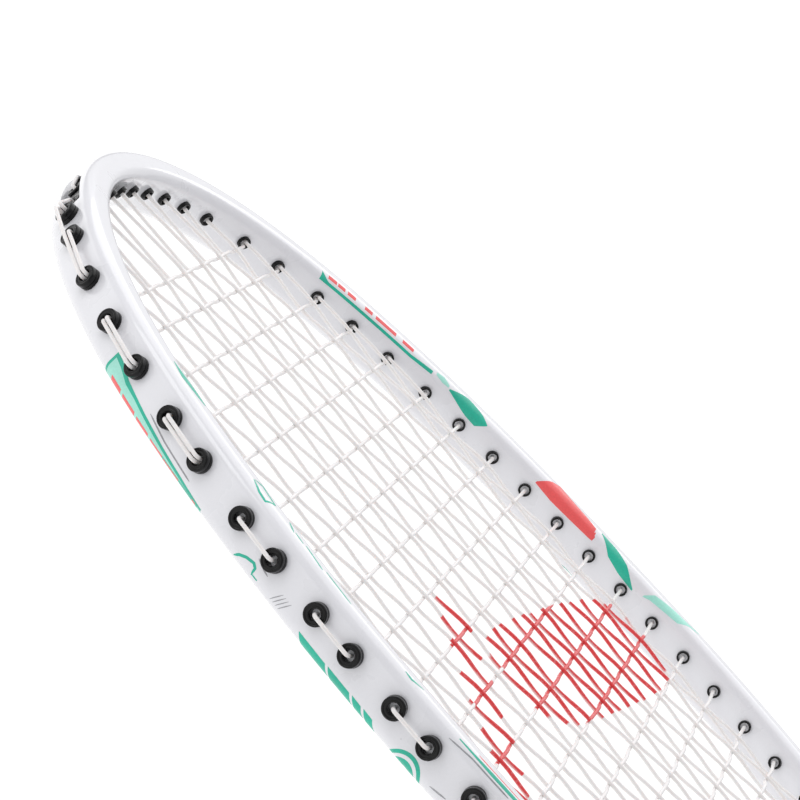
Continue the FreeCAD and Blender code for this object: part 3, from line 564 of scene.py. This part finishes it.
MAINS = 22
CROSSES = 22
SHOULDER_PAIR = (3, 4)
SHARED_TOP = {0: 4, 1: 3, 2: 2, 3: 1, 4: 0}
SHARED_BOTTOM = {0: 19, 1: 20, 2: 21}
PAIR_PULL = 0.55
MAIN_SPACING = 7.6
CROSS_SPACING = 9.12
FIRST_CROSS_GAP = 7.3
SECOND_CROSS_RISE = 106.3
SHOULDER_PAIR_LIFT = 0.7
THROAT_CLEARANCE = 6.4


def solve(value_at, target, low, high):
    """Bisection for an increasing or decreasing function of the angle."""
    rising = value_at(high) > value_at(low)
    for _ in range(50):
        middle = (low + high) / 2
        if (value_at(middle) < target) == rising:
            low = middle
        else:
            high = middle
    return (low + high) / 2


def cross_height(number):
    """Height of a cross string, counted from the tip."""
    second = WIDEST + SECOND_CROSS_RISE
    if number == 0:
        return second + FIRST_CROSS_GAP
    lift = SHOULDER_PAIR_LIFT if number in SHOULDER_PAIR else 0.0
    return second - (number - 1) * CROSS_SPACING + lift


def hole_skew(number, side):
    """How far a hole leans towards the other hole of its pair."""
    if side < 0 and number in (0, CROSSES - 1):
        return 0.0
    return PAIR_PULL if (number % 2 == 1) == (side < 0) else -PAIR_PULL


def main_place(number):
    return (number - (MAINS - 1) / 2) * MAIN_SPACING


class Hole:
    """One string hole: its place on the inner wall and the axis of its grommet."""

    def __init__(self, side, angle, skew=0.0):
        self.side = side
        self.start = wall_point(side, angle, 0, HOLE_RISE)
        lean = Vector((side * cos(angle), -sin(angle), 0)) * (skew / FRAME_WIDTH)
        self.axis = (wall_point(side, angle, 1, HOLE_RISE) - self.start + lean).normalized()


side_holes = []
for cross in range(CROSSES):
    for hole_side in (-1, 1):
        hole_angle = solve(lambda a: wall_point(1, a, 0).y, cross_height(cross), 0, pi)
        side_holes.append(Hole(hole_side, hole_angle, hole_skew(cross, hole_side)))
groove_holes, throat_holes = [], []
for main in range(MAINS):
    hole_side = -1 if main < MAINS / 2 else 1
    rank = min(main, MAINS - 1 - main)
    place = abs(main_place(main))
    if rank not in SHARED_TOP:
        hole = Hole(hole_side, solve(lambda a: wall_point(1, a, 0).x, place, 0, pi / 2))
        (groove_holes if place < GROOVE_HALF_SPAN else side_holes).append(hole)
    if rank not in SHARED_BOTTOM:
        fanned = hypot(place, THROAT_CLEARANCE)
        throat_holes.append(Hole(hole_side, solve(lambda a: wall_point(1, a, 0).x, fanned, pi / 2, pi)))


# ---------------------------------------------------------------- grommets

def arc_points(centre, radius, start, end, count):
    """Points of an arc in the (radius, height) plane; the angles are in degrees."""
    points = []
    for k in range(count + 1):
        angle = radians(start + (end - start) * k / count)
        points.append((centre[0] + radius * cos(angle), centre[1] + radius * sin(angle)))
    return points


BORE_RADIUS = 0.90
BARREL_RADIUS = 1.30
BARREL_END = -0.8
# the flanges start a little under the surface that they lie on
SUNK = 0.05
GROOVE_SUNK = 0.03
SEAT_GAP = 0.21
FLANGE_HEIGHT = 1.5
GROOVE_FLANGE_RISE = 0.88
FLANGE_RADIUS = 2.05
GROOVE_FLANGE_RADIUS = 1.8


def grommet_profile(seat, rim, top):
    """The turned outline of a grommet: barrel, two stacked flanges, dished ring and funnel."""
    height = top - seat
    neck = seat + 0.42 * height
    profile = [(BORE_RADIUS, BARREL_END + 0.12)]
    profile += arc_points((1.10, BARREL_END + 0.18), 0.18, 200, 270, 3)
    profile += arc_points((1.14, BARREL_END + 0.16), 0.16, 280, 360, 3)
    profile += [(BARREL_RADIUS, seat - 1.0), (BARREL_RADIUS, seat), (rim - 0.12, seat)]
    profile += arc_points((rim - 0.14, seat + 0.12), 0.12, -70, 0, 3)
    profile += arc_points((rim - 0.14, neck - 0.12), 0.12, 0, 70, 3)
    profile += [(rim - 0.17, neck), (rim - 0.17, neck + 0.05)]
    profile += arc_points((rim - 0.13, neck + 0.17), 0.11, -80, 0, 3)
    profile += arc_points((rim - 0.30, top - 0.28), 0.28, 0, 90, 7)
    profile += [(rim - 0.36, top), (rim - 0.42, top - 0.05)]
    profile += [(rim - 0.62, top - 0.09), (rim - 0.70, top - 0.05)]
    profile += arc_points((rim - 0.80, top - 0.30), 0.26, 70, 170, 6)
    profile += [(1.0, top - 0.75), (0.92, top - 1.1), (BORE_RADIUS, top - 1.5)]
    return profile


GROOVE_FLOOR = FRAME_WIDTH - GROOVE_DEPTH
side_profile = grommet_profile(FRAME_WIDTH - SUNK, FLANGE_RADIUS,
                               FRAME_WIDTH + SEAT_GAP + FLANGE_HEIGHT)
groove_profile = grommet_profile(GROOVE_FLOOR - GROOVE_SUNK, GROOVE_FLANGE_RADIUS,
                                 GROOVE_FLOOR + GROOVE_FLANGE_RISE)


def grommet_row(name, holes, profile):
    parts = [turned(profile, hole.start, hole.axis) for hole in holes]
    return new_piece(name, *joined(parts), grommet_nylon, "grommet_nylon", 38.0)


left_holes = [hole for hole in side_holes if hole.side < 0]
right_holes = [hole for hole in side_holes if hole.side > 0]
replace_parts(grommet_row("left_grommet_row", left_holes, side_profile), "left_grommets")
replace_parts(grommet_row("right_grommet_row", right_holes, side_profile), "right_grommets")
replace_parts(grommet_row("throat_grommet_row", throat_holes, side_profile), "throat_grommets")
grommet_row("tip_grommet_row", groove_holes, groove_profile)

# the strip that joins the tip's grommets lies on the groove's floor; its section is
# (distance from the holes' line, height over the floor), and it narrows at both ends
STRIP_SECTION = [(-1.5, 0.0), (-1.5, 0.26), (-1.36, 0.4), (-0.6, 0.44), (0.6, 0.44), (1.36, 0.4),
                 (1.5, 0.26), (1.5, 0.0)]
STRIP_STEPS = 60
STRIP_SUNK = 0.02
strip_end = side_and_angle(GROOVE_HALF_SPAN - 0.6)[1]
strip_sections = []
for k in range(-STRIP_STEPS, STRIP_STEPS + 1):
    strip_side = -1 if k < 0 else 1
    strip_angle = strip_end * abs(k) / STRIP_STEPS
    taper = 0.55 + 0.45 * ease(STRIP_STEPS - abs(k), 0, 3)
    strip_sections.append([wall_point(strip_side, strip_angle, GROOVE_FLOOR - STRIP_SUNK + n,
                                      HOLE_RISE + z * taper)
                           for z, n in STRIP_SECTION])
strip = new_piece("tip_strip", *stacked(strip_sections), grommet_nylon, "grommet_nylon", 30.0)
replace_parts(strip, "tip_grommet_strip")


# ---------------------------------------------------------------- transfers on the frame

FILM = 0.025


def skin_patch(stations, lean=0.0, lift=FILM):
    """A thin closed film on the frame's skin between two edges.

    Stations are (s, low v, high v); lean slides the patch along s as v rises.
    """
    columns = []
    for (s0, low0, high0), (s1, low1, high1) in zip(stations, stations[1:]):
        steps = int(abs(s1 - s0) / 0.6) + 1
        for k in range(steps):
            t = k / steps
            columns.append((s0 + (s1 - s0) * t, low0 + (low1 - low0) * t, high0 + (high1 - high0) * t))
    columns.append(stations[-1])
    across = int(max(high - low for s, low, high in columns) / 0.4) + 2
    sections = []
    for s, low, high in columns:
        girth = [low + (high - low) * k / across for k in range(across + 1)]
        upper = [frame_surface(s + lean * (v - low), v, lift) for v in girth]
        lower = [frame_surface(s + lean * (v - low), v, -lift) for v in reversed(girth)]
        sections.append(upper + lower)
    return stacked(sections)


def skin_stroke(path, width):
    """A thin closed ribbon on the frame's skin along a path of (s, v) points."""
    points = []
    for (s0, v0), (s1, v1) in zip(path, path[1:]):
        steps = int(hypot(s1 - s0, v1 - v0) / 0.5) + 1
        points += [(s0 + (s1 - s0) * k / steps, v0 + (v1 - v0) * k / steps) for k in range(steps)]
    points.append(path[-1])
    sections = []
    last = len(points) - 1
    for k, (s, v) in enumerate(points):
        before, after = points[max(0, k - 1)], points[min(last, k + 1)]
        ds, dv = after[0] - before[0], after[1] - before[1]
        length = hypot(ds, dv)
        half = width / 2 * min(1.0, 0.35 + min(k, last - k) * 0.3)
        ds, dv = ds / length * half, dv / length * half
        edges = [(s - dv * w, v + ds * w) for w in (-1, 0, 1)]
        sections.append([frame_surface(a, b, FILM) for a, b in edges]
                        + [frame_surface(a, b, -FILM) for a, b in reversed(edges)])
    return stacked(sections)


RING_SEGMENTS = 48


def skin_ring(s, v, outer, inner):
    """A thin closed ring on the frame's skin."""
    radii = [outer + (inner - outer) * j / 4 for j in range(5)]
    sections = []
    for k in range(RING_SEGMENTS):
        a = 2 * pi * k / RING_SEGMENTS
        spots = [(s + r * cos(a), v + r * sin(a)) for r in radii]
        sections.append([frame_surface(p, q, FILM) for p, q in spots]
                        + [frame_surface(p, q, -FILM) for p, q in reversed(spots)])
    return stacked(sections, close=True)


# the wall transfers end on the back bend; films that overlap lie at different heights
EDGE = -5.6
LOW_FILM, HIGH_FILM = 0.018, 0.032


def wall_transfers(way):
    """The transfers on one outer wall; way is -1 on the -X side and +1 on the +X side."""
    wedge = [(79.2, -0.9), (82.0, -1.2), (85.2, -2.0), (88.8, -2.4), (92.4, -2.8), (96.8, -3.2),
             (100.0, -3.5), (105.6, -3.9), (112.0, -4.5)]
    pale = [skin_patch([(way * s, EDGE, v) for s, v in wedge], lift=LOW_FILM)]
    mint = [skin_patch([(way * s, v - 0.55 - 0.25 * (s < 86), v) for s, v in wedge]),
            skin_patch([(way * 79.1, EDGE, -1.0), (way * 79.7, EDGE, -1.0)]),
            skin_patch([(way * 100.0, EDGE, -4.6), (way * 111.0, EDGE, -4.7)])]
    coral = [skin_patch([(way * a, low, high), (way * b, low - 0.05, high - 0.05)], lift=HIGH_FILM)
             for a, b, low, high in ((81.6, 85.2, -5.2, -4.0), (86.0, 90.4, -5.2, -4.2),
                                     (91.2, 95.2, -5.3, -4.4), (96.0, 100.0, -5.3, -4.6),
                                     (100.4, 105.2, -5.3, -4.8), (109.4, 110.4, -5.3, -4.8))]
    grey = [skin_stroke([(way * 93.0, -2.0), (way * 98.8, -2.7), (way * 107.2, -3.1)], 0.26),
            skin_stroke([(way * 125.2, -1.4), (way * 127.2, -1.9), (way * 128.4, -2.1)], 0.30),
            skin_stroke([(way * 170.4, -3.7), (way * 173.6, -3.1)], 0.30)]
    grey += [skin_stroke([(way * (131.2 + 0.7 * k), -4.2), (way * (132.4 + 0.7 * k), -1.9)], 0.18)
             for k in range(4)]
    mint += [skin_stroke([(way * 121.6, -4.6), (way * 122.4, -3.6), (way * 123.6, -2.9),
                          (way * 125.2, -2.5), (way * 126.0, -2.9), (way * 126.2, -4.2)], 0.5),
             skin_stroke([(way * 126.2, -4.0), (way * 127.6, -4.0)], 0.4)]
    for a, b in ((140.0, 146.6), (147.3, 152.6), (153.3, 155.4), (156.1, 158.2)):
        mint.append(skin_patch([(way * a, EDGE, -3.6), (way * b, EDGE, -3.7)], -0.8 * way))
    mint += [skin_ring(way * 165.4, -6.0, 3.6, 2.9), skin_ring(way * 165.4, -6.0, 2.2, 0.6)]
    return mint, pale, coral, grey


def near_face_transfers():
    """The transfers on the front face of the -X side."""
    mint = [skin_patch([(-86.0, 7.5, 7.7), (-90.2, 6.6, 8.3), (-93.4, 7.4, 8.6), (-96.4, 8.2, 8.5)])]
    for path in (((-113.6, 6.5), (-116.4, 5.4), (-118.4, 5.2), (-119.2, 7.4), (-114.8, 8.3),
                  (-113.6, 6.9)),
                 ((-122.8, 8.1), (-125.2, 6.4)), ((-125.2, 7.1), (-127.6, 6.7)),
                 ((-128.0, 7.3), (-133.2, 6.1)), ((-133.6, 7.1), (-140.4, 6.5)),
                 ((-154.4, 5.9), (-156.0, 5.7), (-158.4, 6.7))):
        mint.append(skin_stroke(path, 0.45))
    mint.append(skin_patch([(-168.0, 5.0, 5.2), (-176.0, 4.9, 5.6), (-196.0, 5.2, 6.1),
                            (-204.0, 5.9, 6.1)]))
    coral = [skin_stroke([(-172.0, 6.1), (-186.0, 6.5), (-202.0, 6.6)], 0.35)]
    grey = [skin_stroke([(-166.8, 3.8), (-171.6, 4.4), (-180.0, 4.5)], 0.25)]
    return mint, [], coral, grey


def far_face_transfers():
    """The transfers on the front face and the inner bend of the +X side."""
    mint = [skin_patch([(82.4, 9.5, 11.3), (84.0, 10.4, 11.3), (85.0, 10.7, 11.3), (110.0, 10.7, 11.3),
                        (116.0, 10.1, 10.9)]),
            skin_patch([(121.2, 10.5, 10.8), (126.0, 8.7, 12.0), (127.6, 8.9, 12.3), (130.4, 9.6, 12.5),
                        (132.4, 10.6, 10.8)]),
            skin_patch([(165.2, 8.6, 9.0), (169.2, 8.9, 11.7), (173.2, 10.1, 12.6), (177.6, 12.7, 13.0)])]
    pale = [skin_patch([(180.0, 11.8, 12.2), (181.6, 10.1, 11.6), (184.8, 9.3, 11.2), (188.8, 8.2, 10.7),
                        (193.6, 6.6, 6.9)]),
            skin_patch([(117.0, 9.6, 10.2), (119.0, 9.2, 10.6), (120.8, 10.0, 10.5)])]
    coral = [skin_patch([(a, 9.3, 10.1), (b, 9.3, 10.1)])
             for a, b in ((84.4, 87.0), (87.4, 89.6), (90.4, 92.8), (95.6, 97.8), (98.8, 104.8),
                          (106.8, 110.0))]
    coral.append(skin_patch([(148.0, 11.5, 11.9), (152.8, 6.5, 12.3), (158.0, 7.9, 12.2),
                             (163.6, 9.3, 12.0), (164.6, 11.0, 11.9)]))
    return mint, pale, coral, []


FILM_PIECES = (("mint_transfers", mint_film), ("pale_mint_transfers", pale_mint_film),
               ("coral_transfers", coral_film), ("grey_transfers", grey_film))
groups = (wall_transfers(-1), wall_transfers(1), near_face_transfers(), far_face_transfers())
for k, (film_name, film_material) in enumerate(FILM_PIECES):
    patches = [patch for group in groups for patch in group[k]]
    new_piece(film_name, *joined(patches), film_material, "frame_lacquer", 50.0)


# ---------------------------------------------------------------- handle

CORE_WIDTH, CORE_HEIGHT, CORE_BEVEL = 22.4, 20.4, 6.2
CORE_TOP = 182.0
WRAP_LOW, WRAP_HIGH = 2.0, 190.0
TAPE_LENGTH = 12.0
CAP_LENGTH = 16.0
CAP_GROWTH, CAP_SKIRT = 2.4, 0.6
BACKING = 0.8
WRAP_OUTSIDE = 2.2
SHAFT_RADIUS = 3.5
STRIP_WIDTH = 25.0
STRIP_PITCH = 22.0
# a rounded guess; the turns, measured along the middle of the strip's thickness, come to 792
# the radius that spaces the perforations along the strip
STRIP_RADIUS = 12.6
SEGMENTS = 72
OCTAGON_SEGMENTS = 96
CORNER_SOFTNESS = 26.0
# how far a visible skin stands off the one under it
SKIN_GAP = 0.03


def octagon_point(angle, growth, y):
    """A point of the handle's octagon, grown outward, with slightly rounded corners."""
    leg = CORE_BEVEL + (2 - sqrt(2)) * growth
    width, height = CORE_WIDTH / 2 + growth, CORE_HEIGHT / 2 + growth
    bevel = (width + height - leg) / sqrt(2)
    total = 0.0
    for k in range(8):
        distance = (width, bevel, height, bevel)[k % 4]
        facing = cos(angle - k * pi / 4)
        if facing > 0:
            total += (facing / distance) ** CORNER_SOFTNESS
    radius = total ** (-1 / CORNER_SOFTNESS)
    return Vector((radius * cos(angle), y, radius * sin(angle)))


def octagon_ring(profile):
    """A closed ring round the handle from (growth or radius, y, is round) corners."""
    sections = []
    for k in range(OCTAGON_SEGMENTS):
        angle = 2 * pi * k / OCTAGON_SEGMENTS
        section = []
        for value, y, is_round in profile:
            if is_round:
                section.append(Vector((value * cos(angle), y, value * sin(angle))))
            else:
                section.append(octagon_point(angle, value, y))
        sections.append(section)
    return stacked(sections, close=True)


def under_wrap(y):
    """Growth of what the wrap lies on: the cap's flare, then the backing."""
    return max(BACKING, CAP_GROWTH - (CAP_GROWTH - CAP_SKIRT) * y / CAP_LENGTH) + SKIN_GAP


TAPE_LOW = WRAP_HIGH - TAPE_LENGTH
STRIP_THICKNESS = 1.02
# the lapping edge lies on the turn before it, and its rim is rounded down
LAP_RISE, RIM_DROP = 0.36, 0.28
# the edge that the next turn covers is pressed thin
COVERED_DROP = 0.55
LAP_LIFT = 0.62
# the tape presses the strip this far below the grip's outside
TAPE_PRESS = 0.33


def wrap_top(y, u):
    """Growth of the strip's outer face, at u millimetres from the strip's lower edge."""
    thickness = STRIP_THICKNESS + LAP_RISE * ease(u, 5.5, 2.0) - RIM_DROP * ease(u, 0.5, 0.0)
    thickness -= COVERED_DROP * ease(u, STRIP_PITCH - 0.4, STRIP_PITCH + 1.0)
    growth = under_wrap(y) + thickness
    pressed = WRAP_OUTSIDE - TAPE_PRESS
    return growth + (min(growth, pressed) - growth) * ease(y, TAPE_LOW - 1.2, TAPE_LOW - 0.1)


def wrap_bottom(y, u):
    """Growth of the strip's inner face; its lower edge lies on the turn before it."""
    return under_wrap(y) + LAP_LIFT * ease(u, 4.2, 2.6) * ease(y, TAPE_LOW - 0.5, TAPE_LOW - 2.0)


def grip_spiral():
    """The grip: one strip wound up the handle, each turn lapping the one before."""
    turns = (WRAP_HIGH - WRAP_LOW + STRIP_WIDTH) / STRIP_PITCH
    columns = int(turns * SEGMENTS)
    across = 18
    sections, marks = [], []
    for k in range(columns + 1):
        turn = turns * k / columns
        angle = 2 * pi * turn
        lower_edge = WRAP_LOW - STRIP_WIDTH + STRIP_PITCH * turn
        low = max(WRAP_LOW, lower_edge)
        high = min(WRAP_HIGH - 0.1, lower_edge + STRIP_WIDTH)
        if high - low < 0.4:
            continue
        along = angle * STRIP_RADIUS
        steps = [(j / across) ** 1.25 for j in range(across + 1)]
        heights = [low + (high - low) * step for step in steps]
        upper = [octagon_point(angle, wrap_top(y, y - lower_edge), y) for y in heights]
        under = [octagon_point(angle, wrap_bottom(y, y - lower_edge), y) for y in reversed(heights)]
        sections.append(upper + under)
        marks += [(along, y - lower_edge, 0.0) for y in heights + heights[::-1]]
    piece = new_piece("grip_strip", *stacked(sections), grip_skin, "grip_skin", 50.0)
    attribute = piece.data.attributes.new("strip", "FLOAT_VECTOR", "POINT")
    for datum, mark in zip(attribute.data, marks):
        datum.vector = mark
    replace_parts(piece, "grip_wrap")
    return piece


grip_spiral()

# the tape's outside has shallow ripples between its two chamfered ends
TAPE_INSIDE, TAPE_CHAMFER, RIPPLE = 1.91, 2.12, 0.03
RIPPLES = 6
tape_profile = [(TAPE_INSIDE, TAPE_LOW, False), (TAPE_CHAMFER, TAPE_LOW, False),
                (WRAP_OUTSIDE, TAPE_LOW + 0.10, False)]
tape_profile += [(WRAP_OUTSIDE - RIPPLE * (k % 2), TAPE_LOW + 0.1 + 11.8 * k / RIPPLES, False)
                 for k in range(1, RIPPLES)]
tape_profile += [(WRAP_OUTSIDE, WRAP_HIGH - 0.10, False), (TAPE_CHAMFER, WRAP_HIGH, False),
                 (TAPE_INSIDE, WRAP_HIGH, False)]
tape = new_piece("finishing_band", *octagon_ring(tape_profile), tape_film, "tape_film", 50.0)
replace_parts(tape, "finishing_tape")

# the butt cap: a bevelled block with rounded edges and a seat for the disc
SEAT_RADIUS, SEAT_DEPTH = 6.95, 0.85
CAP_ROUND = 1.2
CAP_FLOOR = 2.62
CAP_HOLE = 4.0
cap_face = CAP_GROWTH - CAP_ROUND - 0.1
cap_profile = [(SEAT_RADIUS, SEAT_DEPTH, True), (SEAT_RADIUS, 0.12, True), (7.10, 0.0, True),
               (cap_face, 0.0, False)]
cap_profile += [(cap_face + r, CAP_ROUND - h, False)
                for r, h in arc_points((0.0, 0.0), CAP_ROUND, 90, 0, 6)[1:]]
cap_profile += [(CAP_SKIRT + 0.02, CAP_LENGTH - 0.15, False), (CAP_SKIRT - 0.12, CAP_LENGTH, False),
                (0.05, CAP_LENGTH, False), (0.05, CAP_FLOOR, False), (CAP_HOLE, CAP_FLOOR, True),
                (CAP_HOLE, SEAT_DEPTH, True)]
cap = new_piece("butt_cap_shell", *octagon_ring(cap_profile), cap_plastic, "cap_plastic", 38.0)
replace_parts(cap, "butt_cap")

# the disc has two shallow rings and a small centre plug
UP_THE_RACKET = (0, 1, 0)
DISC_BACK = 0.80
disc_profile = [(0.4, DISC_BACK), (0.4, 0.10), (2.2, 0.08), (2.4, 0.16), (2.9, 0.16), (3.1, 0.07),
                (4.9, 0.06), (5.1, 0.14), (5.5, 0.14), (5.7, 0.06), (6.5, 0.06), (6.75, 0.14),
                (6.85, 0.30), (6.85, DISC_BACK)]
plug_profile = [(0.05, DISC_BACK), (0.05, 0.10), (0.38, 0.10), (0.38, DISC_BACK)]
disc_parts = [turned(disc_profile, (0, 0, 0), UP_THE_RACKET, 64),
              turned(plug_profile, (0, 0, 0), UP_THE_RACKET, 24)]
disc = new_piece("butt_disc_face", *joined(disc_parts), mint_film, "disc_plastic", 35.0)
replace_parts(disc, "butt_disc")

# the cone cap narrows in one soft curve, with two shallow rings near its wide end
CONE_LENGTH = 30.0
CONE_WIDE, CONE_NARROW = 10.9, 4.75
CONE_STEPS = 24
RING_CUT, RING_REACH = 0.18, 0.035
SPIGOT_RADIUS, SPIGOT_LENGTH = 7.52, 14.0
SHAFT_HOLE = SHAFT_RADIUS + 0.02
cone_profile = [(CONE_WIDE - 0.04, 0.0), (CONE_WIDE, 0.1), (CONE_WIDE, 8.2)]
for k in range(CONE_STEPS + 1):
    t = k / CONE_STEPS
    cone_radius = CONE_WIDE + (CONE_NARROW - CONE_WIDE) * ease(t, -0.12, 1.10)
    cut = RING_CUT * max(ease(abs(t - 0.06), RING_REACH, 0.0), ease(abs(t - 0.17), RING_REACH, 0.0))
    cone_profile.append((cone_radius - cut, 8.4 + 21.2 * t))
cone_profile += [(4.6, CONE_LENGTH - 0.15), (4.4, CONE_LENGTH), (SHAFT_HOLE, CONE_LENGTH),
                 (SHAFT_HOLE, SPIGOT_LENGTH), (SPIGOT_RADIUS, SPIGOT_LENGTH), (SPIGOT_RADIUS, 0.0)]
cone = new_piece("cone_shell", *turned(cone_profile, (0, CORE_TOP, 0), UP_THE_RACKET, 72),
                 cone_plastic, "cone_plastic", 38.0)
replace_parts(cone, "cone_cap")


# ---------------------------------------------------------------- bands on the shaft

# start and length of each band
MINT_BANDS = ((226, 26), (256, 2), (356, 2), (362, 22))
CORAL_BANDS = ((253, 1.6), (359, 1.6))


def shaft_band(start, length):
    """A thin closed transfer round the shaft."""
    inside, outside = SHAFT_RADIUS - SKIN_GAP, SHAFT_RADIUS + SKIN_GAP
    end = start + length
    return turned([(inside, start), (outside, start), (outside, end), (inside, end)], (0, 0, 0),
                  UP_THE_RACKET, 48)


for band_name, bands, band_film in (("shaft_mint_bands", MINT_BANDS, mint_film),
                                    ("shaft_coral_bands", CORAL_BANDS, coral_film)):
    new_piece(band_name, *joined([shaft_band(*band) for band in bands]), band_film,
              "shaft_lacquer", 40.0)


# ---------------------------------------------------------------- carried-over nodes

CARRIED_OVER = {"main_string": main_nylon, "cross_string": cross_nylon, "string_knots": main_nylon,
                "t_joint": joint_plastic, "throat_collar": frame_lacquer, "shaft": frame_lacquer,
                "shaft_pin": fastener_steel, "handle_core": handle_wood,
                "butt_cap_tacks": fastener_steel, "grip_backing": backing_foam}
for node, node_material in CARRIED_OVER.items():
    for material_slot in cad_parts[node].material_slots:
        material_slot.material = node_material


# ---------------------------------------------------------------- floor and light

# places and sizes here are in metres
FLOOR = min(corner[2] for corner in CAD_BOX)
REACH = 12.0
floor_mesh = bpy.data.meshes.new("floor")
floor_mesh.from_pydata([(-REACH, -REACH, FLOOR), (REACH, -REACH, FLOOR), (REACH, REACH, FLOOR),
                        (-REACH, REACH, FLOOR)], [], [(0, 1, 2, 3)])
floor = bpy.data.objects.new("floor", floor_mesh)
bpy.context.scene.collection.objects.link(floor)
paper = Finish("floor_paper", Roughness=0.9, Emission_Strength=0.86)
paper.surface.inputs["Base Color"].default_value = (0.20, 0.20, 0.20, 1.0)
paper.surface.inputs["Emission Color"].default_value = (1.0, 1.0, 1.0, 1.0)
paper.bump(paper.noise(400.0, 3.0), 0.02, 0.2)
floor_mesh.materials.append(paper.material)

world = bpy.data.worlds.new("studio")
world.use_nodes = True
backdrop = world.node_tree.nodes["Background"]
backdrop.inputs["Color"].default_value = (0.97, 0.97, 1.0, 1.0)
backdrop.inputs["Strength"].default_value = 0.55
bpy.context.scene.world = world


def softbox(name, place, target, width, height, energy):
    """A rectangular area light of that many watts, turned towards its target."""
    light = bpy.data.lights.new(name, "AREA")
    light.shape = "RECTANGLE"
    light.size = width
    light.size_y = height
    light.energy = energy
    lamp = bpy.data.objects.new(name, light)
    lamp.location = place
    lamp.rotation_euler = (Vector(target) - Vector(place)).to_track_quat("-Z", "Y").to_euler()
    bpy.context.scene.collection.objects.link(lamp)


HEAD_MIDDLE = (0.0, 0.55, 0.0)
softbox("overhead", (0.45, 0.80, 1.0), HEAD_MIDDLE, 1.6, 2.0, 11.0)
# seen mirrored in the front face, which the camera looks along
softbox("far_side", (2.2, 0.75, 0.80), HEAD_MIDDLE, 2.6, 1.2, 3.0)
softbox("beyond_tip", (-0.45, 1.6, 0.55), HEAD_MIDDLE, 0.8, 0.6, 3.0)

bpy.context.scene.view_settings.view_transform = "Standard"
